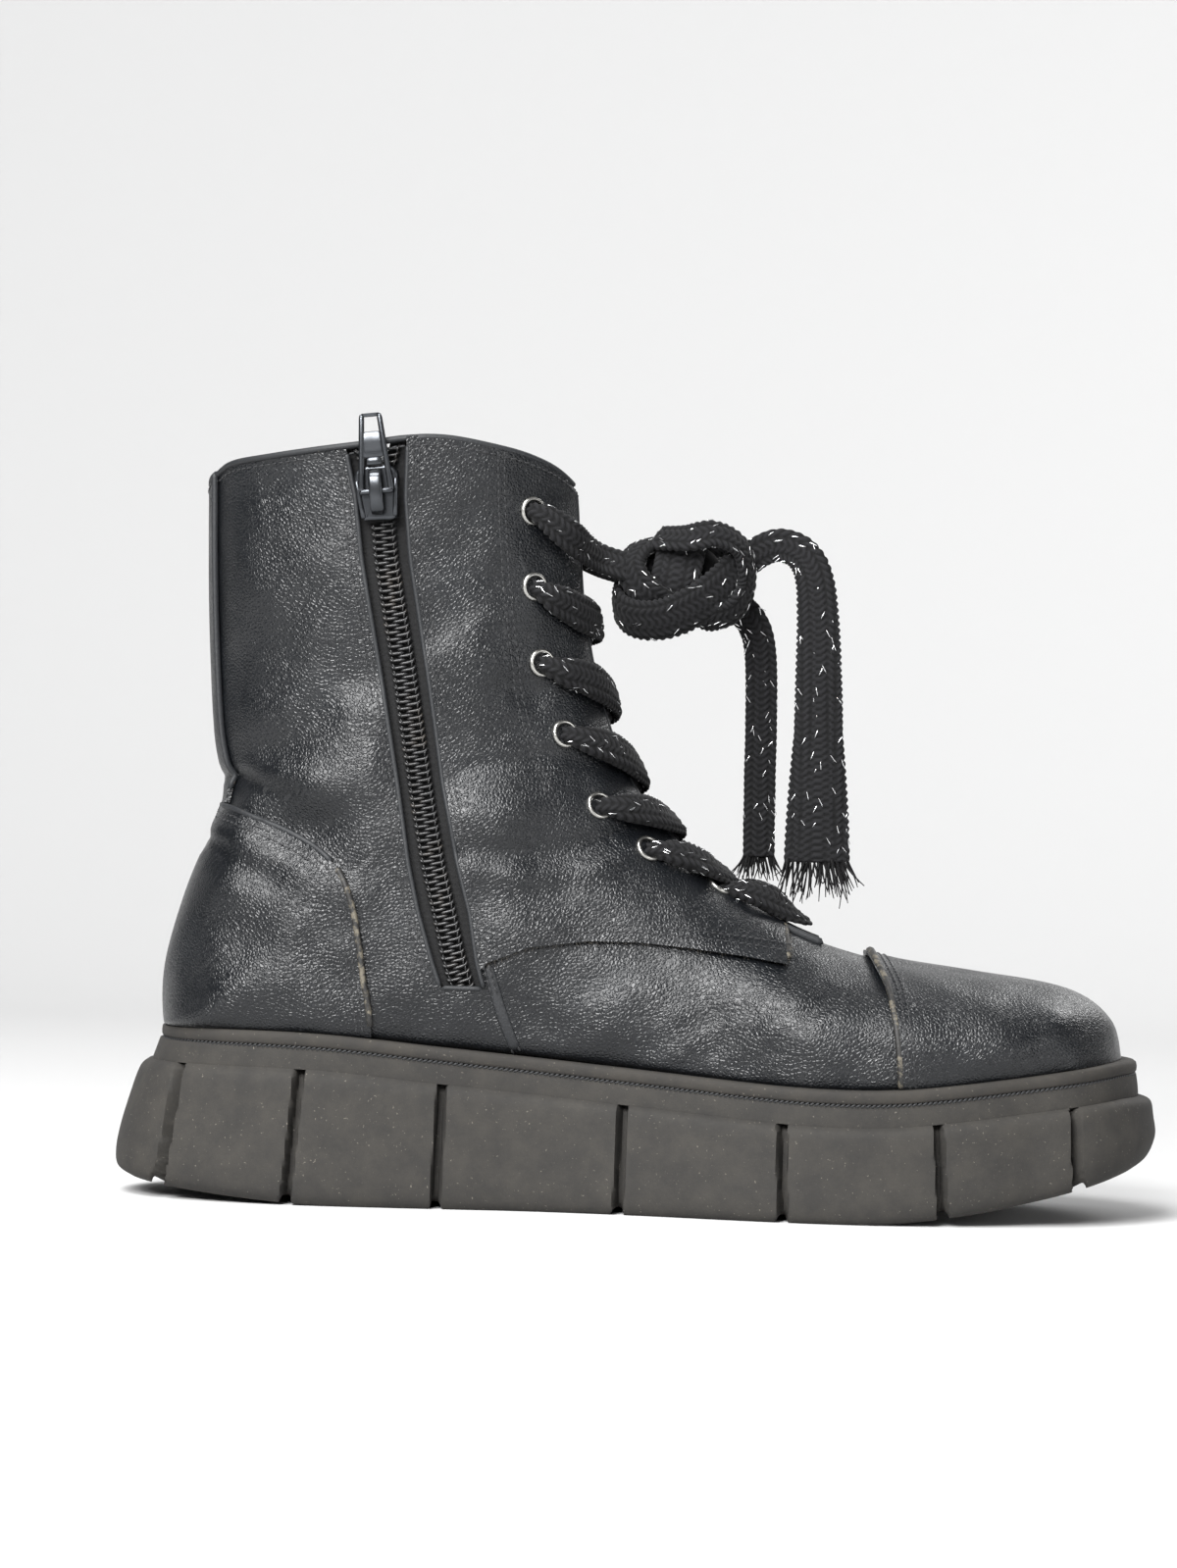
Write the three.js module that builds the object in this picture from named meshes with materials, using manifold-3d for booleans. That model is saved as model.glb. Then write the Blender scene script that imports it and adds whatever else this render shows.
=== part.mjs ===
// Ankle-high combat boot with a lugged sole, seven pairs of eyelets and a zip on its inner side.
// A left boot, in millimetres: +X to the toe, +Z up, the inner side at -Y, the floor at z = 0.
import * as THREE from 'three';
import { mergeVertices } from 'three/addons/utils/BufferGeometryUtils.js';
import Module from 'manifold-3d';

const wasm = await Module();
wasm.setup();

// Driving sizes
const upperLength = 238.5; // heel to toe, along the welt
const ballWidth = 88; // upper at the ball of the foot, along the welt
const heelHeight = 43; // floor to the top of the welt at the heel
const shaftHeight = 147; // top of the welt at the heel to the highest point of the collar
const upperWall = 2; // leather and its lining
const overlayThickness = 1.2; // toe cap, counter, facings and back strip
const seamGap = 0.3; // between pieces that lie on each other
const heelReach = 13.1; // outsole past the upper, at the back
const toeReach = 10.8; // and at the toe
const sideReach = 6.2; // and along the sides
const weltThickness = 3.4;
const midsoleThickness = 5;
const insoleThickness = 3.5;
const toeSpring = 16; // floor to the outsole's lower edge at the toe
const heelBevel = 5; // and at the back of the heel
const waistLift = 2.4; // floor to the sole between heel and forefoot
const grooveWidth = 2.2;
const grooveDepth = 4.5;
const treadWidth = 3.6;
const treadDepth = 4;
const spineWidth = 5; // of the groove along the middle of the tread
const throatLow = 17; // gap between the facings, at the vamp
const throatHigh = 24; // and at the collar
const tongueThickness = 3.2;
const backStripWidth = 21;
const eyeletRadius = 3.65;
const eyeletBore = 1.9;
const barrelWall = 0.45;
const flangeHeight = 0.9;
const laceWidth = 8.4;
const laceThickness = 1.8;
const tapeThickness = 0.8;
const tapeMargin = 5.5; // zip tape behind the leather, on each side of the slot
const coilWidth = 6.2;
const pullLength = 20;
const pullThickness = 1.4;
const pullBar = 1.5; // the pull's bar, across the slider's bridge
const pullLowHalf = 4.5; // half width at the bar
const pullHighHalf = 2.8; // and at the free end
const pullEye = 3.2; // width of the hole near the free end
const pullLean = 4; // degrees that the pull leans in, past upright

// The welt's top seen from the side: share of the upper's length, and of the heel's height
const weltLine = [
  [0, 1], [0.155, 0.993], [0.295, 0.93], [0.465, 0.851], [0.625, 0.781], [0.7, 0.765],
  [0.76, 0.772], [0.825, 0.809], [0.9, 0.865], [0.965, 0.914], [1, 0.94],
];

// Sections of the upper, from the toe's edge round the instep to the collar. Each lies in the plane
// through a foot point and a top point. along and over are shares of the upper's length, up and rise
// are heights over the welt line in shares of the shaft's height, and ridge to maxOut are shares of
// the ball's width. maxAt is where on the section it is widest, low and crown round its lower and
// upper part, and steps is the number of facets to the next section.
const sectionColumns = ['along', 'up', 'over', 'rise', 'ridge', 'footIn', 'footOut', 'maxIn', 'maxOut',
  'maxAt', 'low', 'crown', 'steps'];
const sections = [
  [0.9, 0, 1, 0, -0.057, 0.355, 0.417, 0.365, 0.428, 0.09, 2.1, 1.75, 1],
  [0.861, 0, 0.988, 0.063, -0.059, 0.395, 0.468, 0.405, 0.48, 0.14, 2.2, 2, 1],
  [0.81, 0, 0.945, 0.118, -0.059, 0.427, 0.509, 0.44, 0.525, 0.2, 2.3, 2.25, 2],
  [0.752, 0, 0.852, 0.163, -0.057, 0.443, 0.534, 0.459, 0.553, 0.24, 2.4, 2.3, 2],
  [0.689, 0, 0.754, 0.203, -0.051, 0.444, 0.545, 0.461, 0.566, 0.27, 2.4, 2.25, 1],
  [0.618, 0, 0.668, 0.244, -0.045, 0.412, 0.53, 0.435, 0.555, 0.28, 2.4, 2.15, 1],
  [0.513, 0, 0.601, 0.299, -0.034, 0.347, 0.484, 0.384, 0.511, 0.3, 2.4, 2.05, 1],
  [0.391, 0, 0.544, 0.369, -0.017, 0.314, 0.423, 0.375, 0.458, 0.33, 2.45, 2.05, 1],
  [0.265, 0, 0.496, 0.449, -0.006, 0.33, 0.39, 0.38, 0.423, 0.36, 2.5, 2.15, 1],
  [0.14, 0, 0.466, 0.54, 0.006, 0.336, 0.359, 0.384, 0.401, 0.39, 2.6, 2.25, 1],
  [0.052, 0, 0.448, 0.626, 0.014, 0.265, 0.277, 0.385, 0.392, 0.42, 2.6, 2.3, 1],
  [0.013, 0, 0.439, 0.68, 0.018, 0.157, 0.16, 0.383, 0.386, 0.44, 2.6, 2.35, 2],
  [0, 0, 0.433, 0.726, 0.023, 0, 0, 0.38, 0.381, 0.46, 2.6, 2.4, 1],
  [-0.001, 0.095, 0.428, 0.773, 0.023, 0, 0, 0.375, 0.375, 0.48, 2.6, 2.4, 1],
  [0.018, 0.218, 0.425, 0.82, 0.023, 0, 0, 0.369, 0.369, 0.5, 2.5, 2.4, 1],
  [0.043, 0.327, 0.423, 0.861, 0.023, 0, 0, 0.364, 0.364, 0.5, 2.4, 2.4, 1],
  [0.056, 0.398, 0.421, 0.895, 0.023, 0, 0, 0.358, 0.358, 0.5, 2.3, 2.4, 1],
  [0.045, 0.497, 0.42, 0.932, 0.023, 0, 0, 0.359, 0.359, 0.5, 2.3, 2.4, 1],
  [0.037, 0.68, 0.417, 0.983, 0.023, 0, 0, 0.369, 0.369, 0.5, 2.3, 2.4, 1],
  [0.033, 0.878, 0.413, 1.05, 0.023, 0, 0, 0.381, 0.381, 0.49, 2.3, 2.4, 1],
  [0.031, 1.068, 0.408, 1.145, 0.023, 0, 0, 0.386, 0.386, 0.48, 2.3, 2.4, 1],
];
// The first section that closes on the back seam
const heelSection = sections.findIndex(row => row[sectionColumns.indexOf('footIn')] === 0);
const capEndSection = 5.4; // where the throat starts, as a place among the sections
const tongueStartSection = 4.6;
const topSteps = 8; // facets from the ridge to the widest point, on each side
const lowSteps = 4; // and from there to the welt

// Lines on the upper's side: share of the upper's length, and of the shaft's height over the heel
const collarLine = [
  [0.014, 0.878], [0.029, 0.915], [0.038, 0.939], [0.055, 0.956], [0.094, 0.966], [0.148, 0.978],
  [0.198, 0.989], [0.24, 1], [0.282, 1.002], [0.332, 0.99], [0.366, 0.977], [0.395, 0.956],
  [0.415, 0.924], [0.426, 0.878], [0.433, 0.816],
];
const capLine = [[0.72, 0.3], [0.729, 0.184], [0.738, 0.136], [0.75, 0.093], [0.756, 0.044], [0.761, -0.014],
  [0.766, -0.12]];
const counterLine = [[-0.1, 0.374], [0.022, 0.373], [0.062, 0.369], [0.084, 0.358], [0.125, 0.333],
  [0.161, 0.301], [0.182, 0.267], [0.195, 0.218], [0.203, 0.161], [0.21, 0.087], [0.216, 0.038],
  [0.228, -0.12]];
const facingLine = [[0.2, 0.09], [0.337, 0.122], [0.38, 0.15], [0.441, 0.163], [0.492, 0.163], [0.543, 0.156],
  [0.604, 0.144], [0.647, 0.133], [0.646, 0.184], [0.645, 0.4]];
const zipColumns = ['height', 'along', 'half']; // half is the slot's half width, in shares of coilWidth
const zipRows = [
  [1.1, 0.2, 1.45], [0.986, 0.208, 1.23], [0.898, 0.214, 0.98], [0.796, 0.221, 0.95], [0.612, 0.242, 0.92],
  [0.415, 0.263, 0.87], [0.286, 0.278, 0.95], [0.204, 0.291, 1], [0.122, 0.303, 0.87], [0.078, 0.312, 0.84],
];
const sliderAt = [0.2115, 0.905];
const eyelets = [
  [0.368, 0.884], [0.372, 0.756], [0.382, 0.627], [0.408, 0.507], [0.446, 0.386], [0.498, 0.313],
  [0.574, 0.252],
];

// The sole's sides: height share of the layer, and reach past the upper in shares of heelReach,
// sideReach and toeReach
const edgeColumns = ['height', 'back', 'side', 'front'];
const outsoleEdge = [
  [0, 0.72, 0.65, 0.62], [0.06, 0.96, 0.9, 0.8], [0.2, 1, 1, 0.93], [0.4, 0.93, 1, 1],
  [0.65, 0.78, 0.97, 0.95], [0.92, 0.58, 0.9, 0.87], [1, 0.4, 0.62, 0.62],
];
const midsoleEdge = [[0, 0.34, 0.58, 0.58], [1, 0.2, 0.56, 0.52]];
const weltEdge = [[0, 0.16, 0.62, 0.5], [0.5, 0.17, 0.66, 0.53], [1, 0.14, 0.61, 0.48]];
// Side grooves: their top and bottom, in shares of the upper's length
const grooves = [[0.025, -0.002], [0.15, 0.135], [0.296, 0.29], [0.482, 0.478], [0.641, 0.646],
  [0.798, 0.81], [0.942, 0.953]];
const heelFlatStart = 0.2; // the sole is flat on the floor from here, but for the waist
const waist = [0.3, 0.472];
const foreFlatEnd = 0.715; // and up to here, where the toe spring starts

const heelX = -(upperLength + toeReach - heelReach) / 2;
const named = (columns, rows) => rows.map(row => Object.fromEntries(columns.map((name, i) => [name, row[i]])));
const clamp01 = value => Math.min(1, Math.max(0, value));
const atX = share => heelX + share * upperLength;
const atZ = share => heelHeight + share * shaftHeight;

// Value of a table of [place, value] pairs, straight between its rows
function along(table, place) {
  const last = table.length - 2;
  const i = Math.min(last, Math.max(0, table.findIndex(row => row[0] > place) - 1));
  const start = place >= table[last + 1][0] ? last : i;
  const [a, b] = [table[start], table[start + 1]];
  return a[1] + (b[1] - a[1]) * (place - a[0]) / (b[0] - a[0]);
}

const weltZ = share => heelHeight * along(weltLine, clamp01(share));

// A smooth value through four neighbouring rows
function through(a, b, c, d, f) {
  const [bend, twist] = [2 * a - 5 * b + 4 * c - d, 3 * (b - c) + d - a];
  return b + f / 2 * (c - a + f * (bend + f * twist));
}

// The section at a place among the rows. Foot widths are joined by their squares, which rounds the heel.
function sectionAt(place) {
  const i = Math.min(sections.length - 2, Math.floor(place));
  const rows = [i - 1, i, i + 1, i + 2].map(k => sections[Math.min(sections.length - 1, Math.max(0, k))]);
  const values = sectionColumns.map((name, k) => {
    const square = name.startsWith('foot');
    const four = rows.map(row => (square ? row[k] ** 2 : row[k]));
    const value = through(...four, place - i);
    return square ? Math.sqrt(Math.max(0, value)) : value;
  });
  return Object.fromEntries(sectionColumns.map((name, k) => [name, values[k]]));
}

// A point of the section: side is -1 for the inner half, step counts from the ridge to the welt
function sectionPoint(section, side, step) {
  let share;
  let width;
  const foot = ballWidth * (side < 0 ? section.footIn : section.footOut);
  const widest = ballWidth * (side < 0 ? section.maxIn : section.maxOut);
  if (step <= topSteps) {
    const angle = (1 - step / topSteps) * Math.PI / 2;
    share = section.maxAt + (1 - section.maxAt) * Math.sin(angle) ** (2 / section.crown);
    width = widest * Math.max(0, Math.cos(angle)) ** (2 / section.crown);
  } else {
    const angle = (step - topSteps) / lowSteps * Math.PI / 2;
    share = section.maxAt * (1 - Math.sin(angle));
    width = foot + (widest - foot) * Math.max(0, Math.cos(angle)) ** (2 / section.low);
  }
  const footZ = weltZ(section.along) + section.up * shaftHeight;
  const topZ = weltZ(section.over) + section.rise * shaftHeight;
  return new THREE.Vector3(
    atX(section.along + (section.over - section.along) * share),
    ballWidth * section.ridge + side * width,
    footZ + (topZ - footZ) * share,
  );
}

// The upper's form as a grid of points and outward normals, a row for each section
const places = sections.slice(0, -1).flatMap((row, i) => {
  const steps = row[sectionColumns.indexOf('steps')];
  return Array.from({ length: steps }, (_, k) => i + k / steps);
});
places.push(sections.length - 1);
const heelRow = places.indexOf(heelSection);
const sideSteps = topSteps + lowSteps;
const lastColumn = 2 * sideSteps;
const rawForm = places.map(place => {
  const section = sectionAt(place);
  return Array.from({ length: lastColumn + 1 }, (_, column) => {
    const step = column - sideSteps;
    return sectionPoint(section, step < 0 ? -1 : 1, Math.abs(step));
  });
});

// The boot is centred on the floor by the widest ring of its outsole
const planReach = (normalX, edge) => edge.side * sideReach
  + (edge.back * heelReach - edge.side * sideReach) * Math.max(0, -normalX) ** 2
  + (edge.front * toeReach - edge.side * sideReach) * Math.max(0, normalX) ** 2;

function weltLoop(form) {
  const toe = [];
  for (let step = 0; step <= topSteps; step += 1) toe.push(step);
  toe.push(sideSteps);
  const pairs = toe.map(step => [form[0][sideSteps - step], form[0][sideSteps + step]]);
  for (let row = 1; row <= heelRow; row += 1) pairs.push([form[row][0], form[row][lastColumn]]);
  return pairs;
}

const loopOf = pairs => [...pairs.map(pair => pair[0]), ...pairs.slice(1, -1).reverse().map(pair => pair[1])];

// The ring of the welt loop moved out in plan, as pairs of an inner and an outer point
function ring(pairs, reach, height) {
  const loop = loopOf(pairs);
  const count = loop.length;
  const moved = loop.map((point, i) => {
    const next = loop[(i + 1) % count];
    const back = loop[(i + count - 1) % count];
    const normal = new THREE.Vector2(back.y - next.y, next.x - back.x).normalize();
    const out = reach(normal.x);
    const x = point.x + normal.x * out;
    return new THREE.Vector3(x, point.y + normal.y * out, height((x - heelX) / upperLength));
  });
  return pairs.map((pair, i) => [moved[i], i === 0 || i === pairs.length - 1 ? moved[i] : moved[count - i]]);
}

const widest = named(edgeColumns, outsoleEdge)[2];
const widestRing = ring(weltLoop(rawForm), normalX => planReach(normalX, widest), () => 0);
const ringY = widestRing.flat().map(point => point.y);
const sideShift = -(Math.min(...ringY) + Math.max(...ringY)) / 2;
const form = rawForm.map(row => row.map(point => point.clone().setY(point.y + sideShift)));

function formNormal(row, column) {
  const rowBack = form[Math.max(0, row - 1)];
  const rowNext = form[Math.min(places.length - 1, row + 1)];
  const wraps = row >= heelRow && (column === 0 || column === lastColumn);
  const before = wraps ? lastColumn - 1 : Math.max(0, column - 1);
  const after = wraps ? 1 : Math.min(lastColumn, column + 1);
  const acrossLine = form[row][after].clone().sub(form[row][before]);
  const alongLine = rowNext[column].clone().sub(rowBack[column]);
  const normal = alongLine.cross(acrossLine);
  const onEdge = row === 0 || (row < heelRow && (column === 0 || column === lastColumn));
  if (onEdge) normal.z = 0;
  if (wraps) normal.y = 0;
  return normal.normalize();
}

const normals = form.map((row, i) => row.map((_, j) => formNormal(i, j)));

// Outward is away from the middle of the foot
const probe = normals[heelRow][sideSteps];
if (probe.x < 0) normals.forEach(row => row.forEach(normal => normal.negate()));

const offsetPoint = (row, column, offset) => form[row][column].clone()
  .addScaledVector(normals[row][column], offset);

// Solids from triangles: points are merged, and the faces turned out
function solid(triangles) {
  const positions = new Float32Array(triangles.length * 9);
  triangles.flat().forEach((point, i) => point.toArray(positions, i * 3));
  const loose = new THREE.BufferGeometry();
  loose.setAttribute('position', new THREE.BufferAttribute(positions, 3));
  return solidOf(loose);
}

function solidOf(geometry) {
  const bare = geometry.clone();
  bare.deleteAttribute('normal');
  bare.deleteAttribute('uv');
  const merged = mergeVertices(bare, 1e-4);
  const points = merged.attributes.position.array;
  const index = Array.from(merged.index.array);
  const kept = [];
  let volume = 0;
  for (let i = 0; i < index.length; i += 3) {
    const [a, b, c] = index.slice(i, i + 3);
    if (a !== b && b !== c && c !== a) {
      kept.push(a, b, c);
      const corners = [a, b, c].map(k => new THREE.Vector3().fromArray(points, k * 3));
      volume += corners[0].dot(corners[1].cross(corners[2]));
    }
  }
  if (volume < 0) kept.reverse();
  return new wasm.Manifold(new wasm.Mesh({
    numProp: 3,
    vertProperties: new Float32Array(points),
    triVerts: new Uint32Array(kept),
  }));
}

const quad = (a, b, c, d) => [[a, b, c], [a, c, d]];
const flip = faces => faces.map(([a, b, c]) => [c, b, a]);

// The ladder between the two sides of a loop given as pairs
function ladder(pairs) {
  return pairs.slice(1).flatMap((pair, i) => quad(pairs[i][0], pairs[i][1], pair[1], pair[0]));
}

// A stack of rings, each a list of pairs, closed by a ladder at both ends
function stack(rings) {
  const loops = rings.map(loopOf);
  const faces = [...flip(ladder(rings[0])), ...ladder(rings[rings.length - 1])];
  loops.slice(1).forEach((loop, i) => {
    const under = loops[i];
    loop.forEach((point, k) => {
      const next = (k + 1) % loop.length;
      faces.push(...quad(under[k], loop[k], loop[next], under[next]));
    });
  });
  return solid(faces);
}

// A loft through loops of four or more points each, closed by a fan at both ends
function loft(loops) {
  const faces = [];
  const fan = loop => loop.slice(1, -1).map((point, i) => [loop[0], point, loop[i + 2]]);
  faces.push(...fan(loops[0]), ...flip(fan(loops[loops.length - 1])));
  loops.slice(1).forEach((loop, i) => {
    loop.forEach((point, k) => {
      const next = (k + 1) % loop.length;
      faces.push(...quad(loops[i][k], loop[k], loop[next], loops[i][next]));
    });
  });
  return solid(faces);
}

// The whole boot form grown by an offset: closed at the collar, and dropped straight down at the welt
function grownForm(offset) {
  const drop = new THREE.Vector3(0, 0, -shaftHeight / 18);
  const grid = form.map((row, i) => row.map((_, j) => offsetPoint(i, j, offset)));
  const faces = [];
  for (let row = 1; row < grid.length; row += 1) {
    for (let column = 1; column <= lastColumn; column += 1) {
      faces.push(...quad(grid[row - 1][column - 1], grid[row - 1][column], grid[row][column],
        grid[row][column - 1]));
    }
  }
  const edge = [...grid[0]];
  for (let row = 1; row <= heelRow; row += 1) edge.push(grid[row][lastColumn]);
  for (let row = heelRow - 1; row >= 1; row -= 1) edge.push(grid[row][0]);
  const under = edge.map(point => point.clone().add(drop));
  edge.forEach((point, i) => {
    const next = (i + 1) % edge.length;
    faces.push(...quad(point, under[i], under[next], edge[next]));
  });
  const toePairs = Array.from({ length: sideSteps + 1 }, (_, step) => [
    under[sideSteps - step], under[sideSteps + step]]);
  const sidePairs = Array.from({ length: heelRow }, (_, k) => [
    under[(edge.length - 1 - k) % edge.length], under[lastColumn + 1 + k]]);
  faces.push(...flip(ladder([...toePairs, ...sidePairs])));
  const top = grid[grid.length - 1];
  const topPairs = Array.from({ length: sideSteps + 1 }, (_, k) => [top[k], top[lastColumn - k]]);
  faces.push(...flip(ladder(topPairs)));
  return solid(faces);
}

// A wall of the boot form between two offsets
const wallBetween = (inner, outer) => grownForm(outer).subtract(grownForm(inner));

// A prism across the boot with an outline seen from the side, in millimetres
function sidePrism(outline, fromY, toY) {
  const shape = new THREE.Shape(outline.map(([x, z]) => new THREE.Vector2(x, z)));
  const geometry = new THREE.ExtrudeGeometry(shape, { depth: toY - fromY, bevelEnabled: false });
  geometry.rotateX(Math.PI / 2);
  geometry.translate(0, toY, 0);
  return solidOf(geometry);
}

const sidePoints = line => line.map(([share, height]) => [atX(share), atZ(height)]);
function smooth(line, count) {
  const curve = new THREE.SplineCurve(line.map(point => new THREE.Vector2(...point)));
  return curve.getSpacedPoints(count).map(point => [point.x, point.y]);
}

const collarSteps = 18;
const farAside = 2 * ballWidth;
const middle = sideShift;
const behind = atX(-0.25);
const ahead = atX(1.25);
const above = atZ(1.5);
const collarCurve = smooth(sidePoints(collarLine), collarSteps);
const collarCut = sidePrism([...collarCurve, [ahead, collarCurve[collarSteps][1]], [ahead, above],
  [behind, above], [behind, collarCurve[0][1]]], -farAside, farAside);
const weltShares = weltLine.map(row => row[0]);
const floorCut = sidePrism([[behind, weltZ(0)], ...weltShares.map(share => [atX(share), weltZ(share)]),
  [ahead, weltZ(1)], [ahead, -heelHeight], [behind, -heelHeight]], -farAside, farAside);

// The throat between the facings, as a cut along the ridge
function throatCut(startSection, narrowing) {
  const rows = places.map((place, row) => row).filter(row => places[row] >= startSection);
  const loops = rows.map((row, i) => {
    const share = i / (rows.length - 1);
    const half = (throatLow + (throatHigh - throatLow) * share) / 2 - narrowing;
    const ridge = form[row][sideSteps];
    const out = normals[row][sideSteps];
    const outer = ridge.clone().addScaledVector(out, ballWidth / 4);
    const inner = ridge.clone().addScaledVector(out, -ballWidth / 6);
    return [[outer, -half], [outer, half], [inner, half], [inner, -half]]
      .map(([point, y]) => point.clone().setY(ridge.y + y));
  });
  return loft(loops);
}

// The zip's slot, tape and coil: a band along the zip line, on the inner side alone
const zip = named(zipColumns, zipRows);
function zipBand(halfWidth, low, high) {
  const rows = zip.filter(row => row.height >= low && row.height <= high);
  const left = rows.map(row => [atX(row.along) - halfWidth(row), atZ(row.height)]);
  const right = rows.map(row => [atX(row.along) + halfWidth(row), atZ(row.height)]);
  return sidePrism([...left, ...right.reverse()], -farAside, middle);
}
const slotCut = zipBand(row => row.half * coilWidth, 0, 2);

// A place on the form's side, found from its side view: row and column with the fractions between them
function onSide(share, height, side) {
  const [x, z] = [atX(share), atZ(height)];
  const columns = side < 0 ? [0, sideSteps] : [sideSteps, lastColumn];
  for (let row = 0; row < places.length - 1; row += 1) {
    for (let column = columns[0]; column < columns[1]; column += 1) {
      const corner = form[row][column];
      const over = form[row + 1][column].clone().sub(corner);
      const next = form[row][column + 1].clone().sub(corner);
      const twist = form[row + 1][column + 1].clone().sub(corner).sub(over).sub(next);
      let [u, v] = [0.5, 0.5];
      for (let pass = 0; pass < 8; pass += 1) {
        const errorX = corner.x + over.x * u + next.x * v + twist.x * u * v - x;
        const errorZ = corner.z + over.z * u + next.z * v + twist.z * u * v - z;
        const [ax, az] = [over.x + twist.x * v, over.z + twist.z * v];
        const [bx, bz] = [next.x + twist.x * u, next.z + twist.z * u];
        const area = ax * bz - az * bx;
        u -= (errorX * bz - errorZ * bx) / area;
        v -= (errorZ * ax - errorX * az) / area;
      }
      if (u >= 0 && u <= 1 && v >= 0 && v <= 1) return { row: row + u, column: column + v };
    }
  }
  return null;
}

// A point over the form at a fractional row and column, with its normal
function overForm(row, column, offset) {
  const [i, j] = [Math.min(places.length - 2, Math.floor(row)), Math.min(lastColumn - 1, Math.floor(column))];
  const [u, v] = [row - i, column - j];
  const mix = grid => grid[i][j].clone().multiplyScalar((1 - u) * (1 - v))
    .addScaledVector(grid[i + 1][j], u * (1 - v))
    .addScaledVector(grid[i][j + 1], (1 - u) * v)
    .addScaledVector(grid[i + 1][j + 1], u * v);
  const normal = mix(normals).normalize();
  return { point: mix(form).addScaledVector(normal, offset), normal };
}

const overlayLow = seamGap;
const overlayTop = seamGap + overlayThickness;

function frameAt(point, up) {
  const turn = new THREE.Quaternion().setFromUnitVectors(new THREE.Vector3(0, 0, 1), up);
  return new THREE.Matrix4().compose(point, turn, new THREE.Vector3(1, 1, 1));
}

const eyeletPlaces = eyelets.map(([share, height]) => [-1, 1].map(side => onSide(share, height, side)));
const eyeletHoles = eyeletPlaces.flat().map(place => {
  const { point, normal } = overForm(place.row, place.column, 0);
  const radius = eyeletBore + barrelWall + seamGap;
  const hole = new THREE.CylinderGeometry(radius, radius, 6 * upperWall, 8).rotateX(Math.PI / 2);
  return solidOf(hole.applyMatrix4(frameAt(point, normal)));
});
const allHoles = eyeletHoles.reduce((sum, hole) => sum.add(hole));

// The pieces
const boot = new THREE.Group();

// The main body of a cut piece, without the slivers that a cut can leave
const larger = (best, part) => (part.volume() > best.volume() ? part : best);
const mainBody = piece => piece.decompose().reduce(larger);

function place(name, piece, look) {
  const mesh = mainBody(piece).getMesh();
  const geometry = new THREE.BufferGeometry();
  geometry.setAttribute('position', new THREE.BufferAttribute(new Float32Array(mesh.vertProperties), 3));
  geometry.setIndex(new THREE.BufferAttribute(new Uint32Array(mesh.triVerts), 1));
  geometry.computeVertexNormals();
  const [color, roughness, metalness] = look;
  const node = new THREE.Mesh(geometry, new THREE.MeshStandardMaterial({ color, roughness, metalness }));
  node.name = name;
  boot.add(node);
  return node;
}

const leather = [0x23272d, 0.5, 0];
const rubber = [0x3b3a38, 0.85, 0];
const lining = [0x1c1c1f, 0.9, 0];
const nickel = [0x8d8f92, 0.35, 1];
const gunmetal = [0x3d434d, 0.3, 1];
const braid = [0x18181a, 0.9, 0];

// The sole: outsole with its side blocks and tread, midsole and welt
const pairsOfWelt = weltLoop(form);
const weltBottom = share => weltZ(share) - seamGap - weltThickness;
const midsoleBottom = share => weltBottom(share) - seamGap - midsoleThickness;
const outsoleTop = share => midsoleBottom(share) - seamGap;
function outsoleBottom(share) {
  const toe = Math.max(0, share - foreFlatEnd) / (1 + toeReach / upperLength - foreFlatEnd);
  const heel = Math.max(0, heelFlatStart - share) / (heelFlatStart + heelReach / upperLength);
  return toeSpring * toe ** 1.7 + heelBevel * heel ** 1.6;
}

function soleLayer(edgeRows, bottom, top, inset) {
  return stack(named(edgeColumns, edgeRows).map(edge => ring(
    pairsOfWelt,
    normalX => planReach(normalX, edge) - inset,
    share => bottom(share) + (top(share) - bottom(share)) * edge.height,
  )));
}

function makeOutsole() {
  const body = soleLayer(outsoleEdge, outsoleBottom, outsoleTop, 0);
  const core = soleLayer(outsoleEdge, share => outsoleBottom(share) - heelHeight, outsoleTop, grooveDepth);
  const slanted = ([top, bottom], width, floor, roof) => {
    const lean = (atX(top) - atX(bottom)) / heelHeight;
    const line = z => atX(bottom) + lean * z;
    return sidePrism([[line(floor) - width / 2, floor], [line(floor) + width / 2, floor],
      [line(roof) + width / 2, roof], [line(roof) - width / 2, roof]], -farAside, farAside);
  };
  const tread = grooves.map(pair => {
    const floor = outsoleBottom(pair[1]);
    return slanted(pair, treadWidth, -heelHeight / 4, floor + treadDepth);
  }).reduce((sum, cut) => sum.add(cut));
  const sides = grooves.map(pair => slanted(pair, grooveWidth, -heelHeight / 4, heelHeight))
    .reduce((sum, cut) => sum.add(cut)).subtract(core);
  const waistCut = sidePrism([[atX(waist[0]), -heelHeight / 4], [atX(waist[1]), -heelHeight / 4],
    [atX(waist[1]), waistLift], [atX(waist[0]), waistLift]], -farAside, farAside);
  const spine = new THREE.BoxGeometry(upperLength * 0.94, spineWidth, 2 * treadDepth);
  spine.translate(0, form[heelRow][0].y, 0);
  return body.subtract(sides).subtract(tread).subtract(waistCut).subtract(solidOf(spine));
}

place('outsole', makeOutsole(), rubber);
place('midsole', soleLayer(midsoleEdge, midsoleBottom, share => weltBottom(share) - seamGap, 0), rubber);
place('welt', soleLayer(weltEdge, weltBottom, share => weltZ(share) - seamGap, 0), rubber);

const insoleInset = upperWall + 2 * seamGap;
place('insole', stack([0, 1].map(level => ring(
  pairsOfWelt,
  () => -insoleInset - level * insoleThickness * 0.7,
  share => weltZ(share) + level * insoleThickness,
))), lining);

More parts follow.
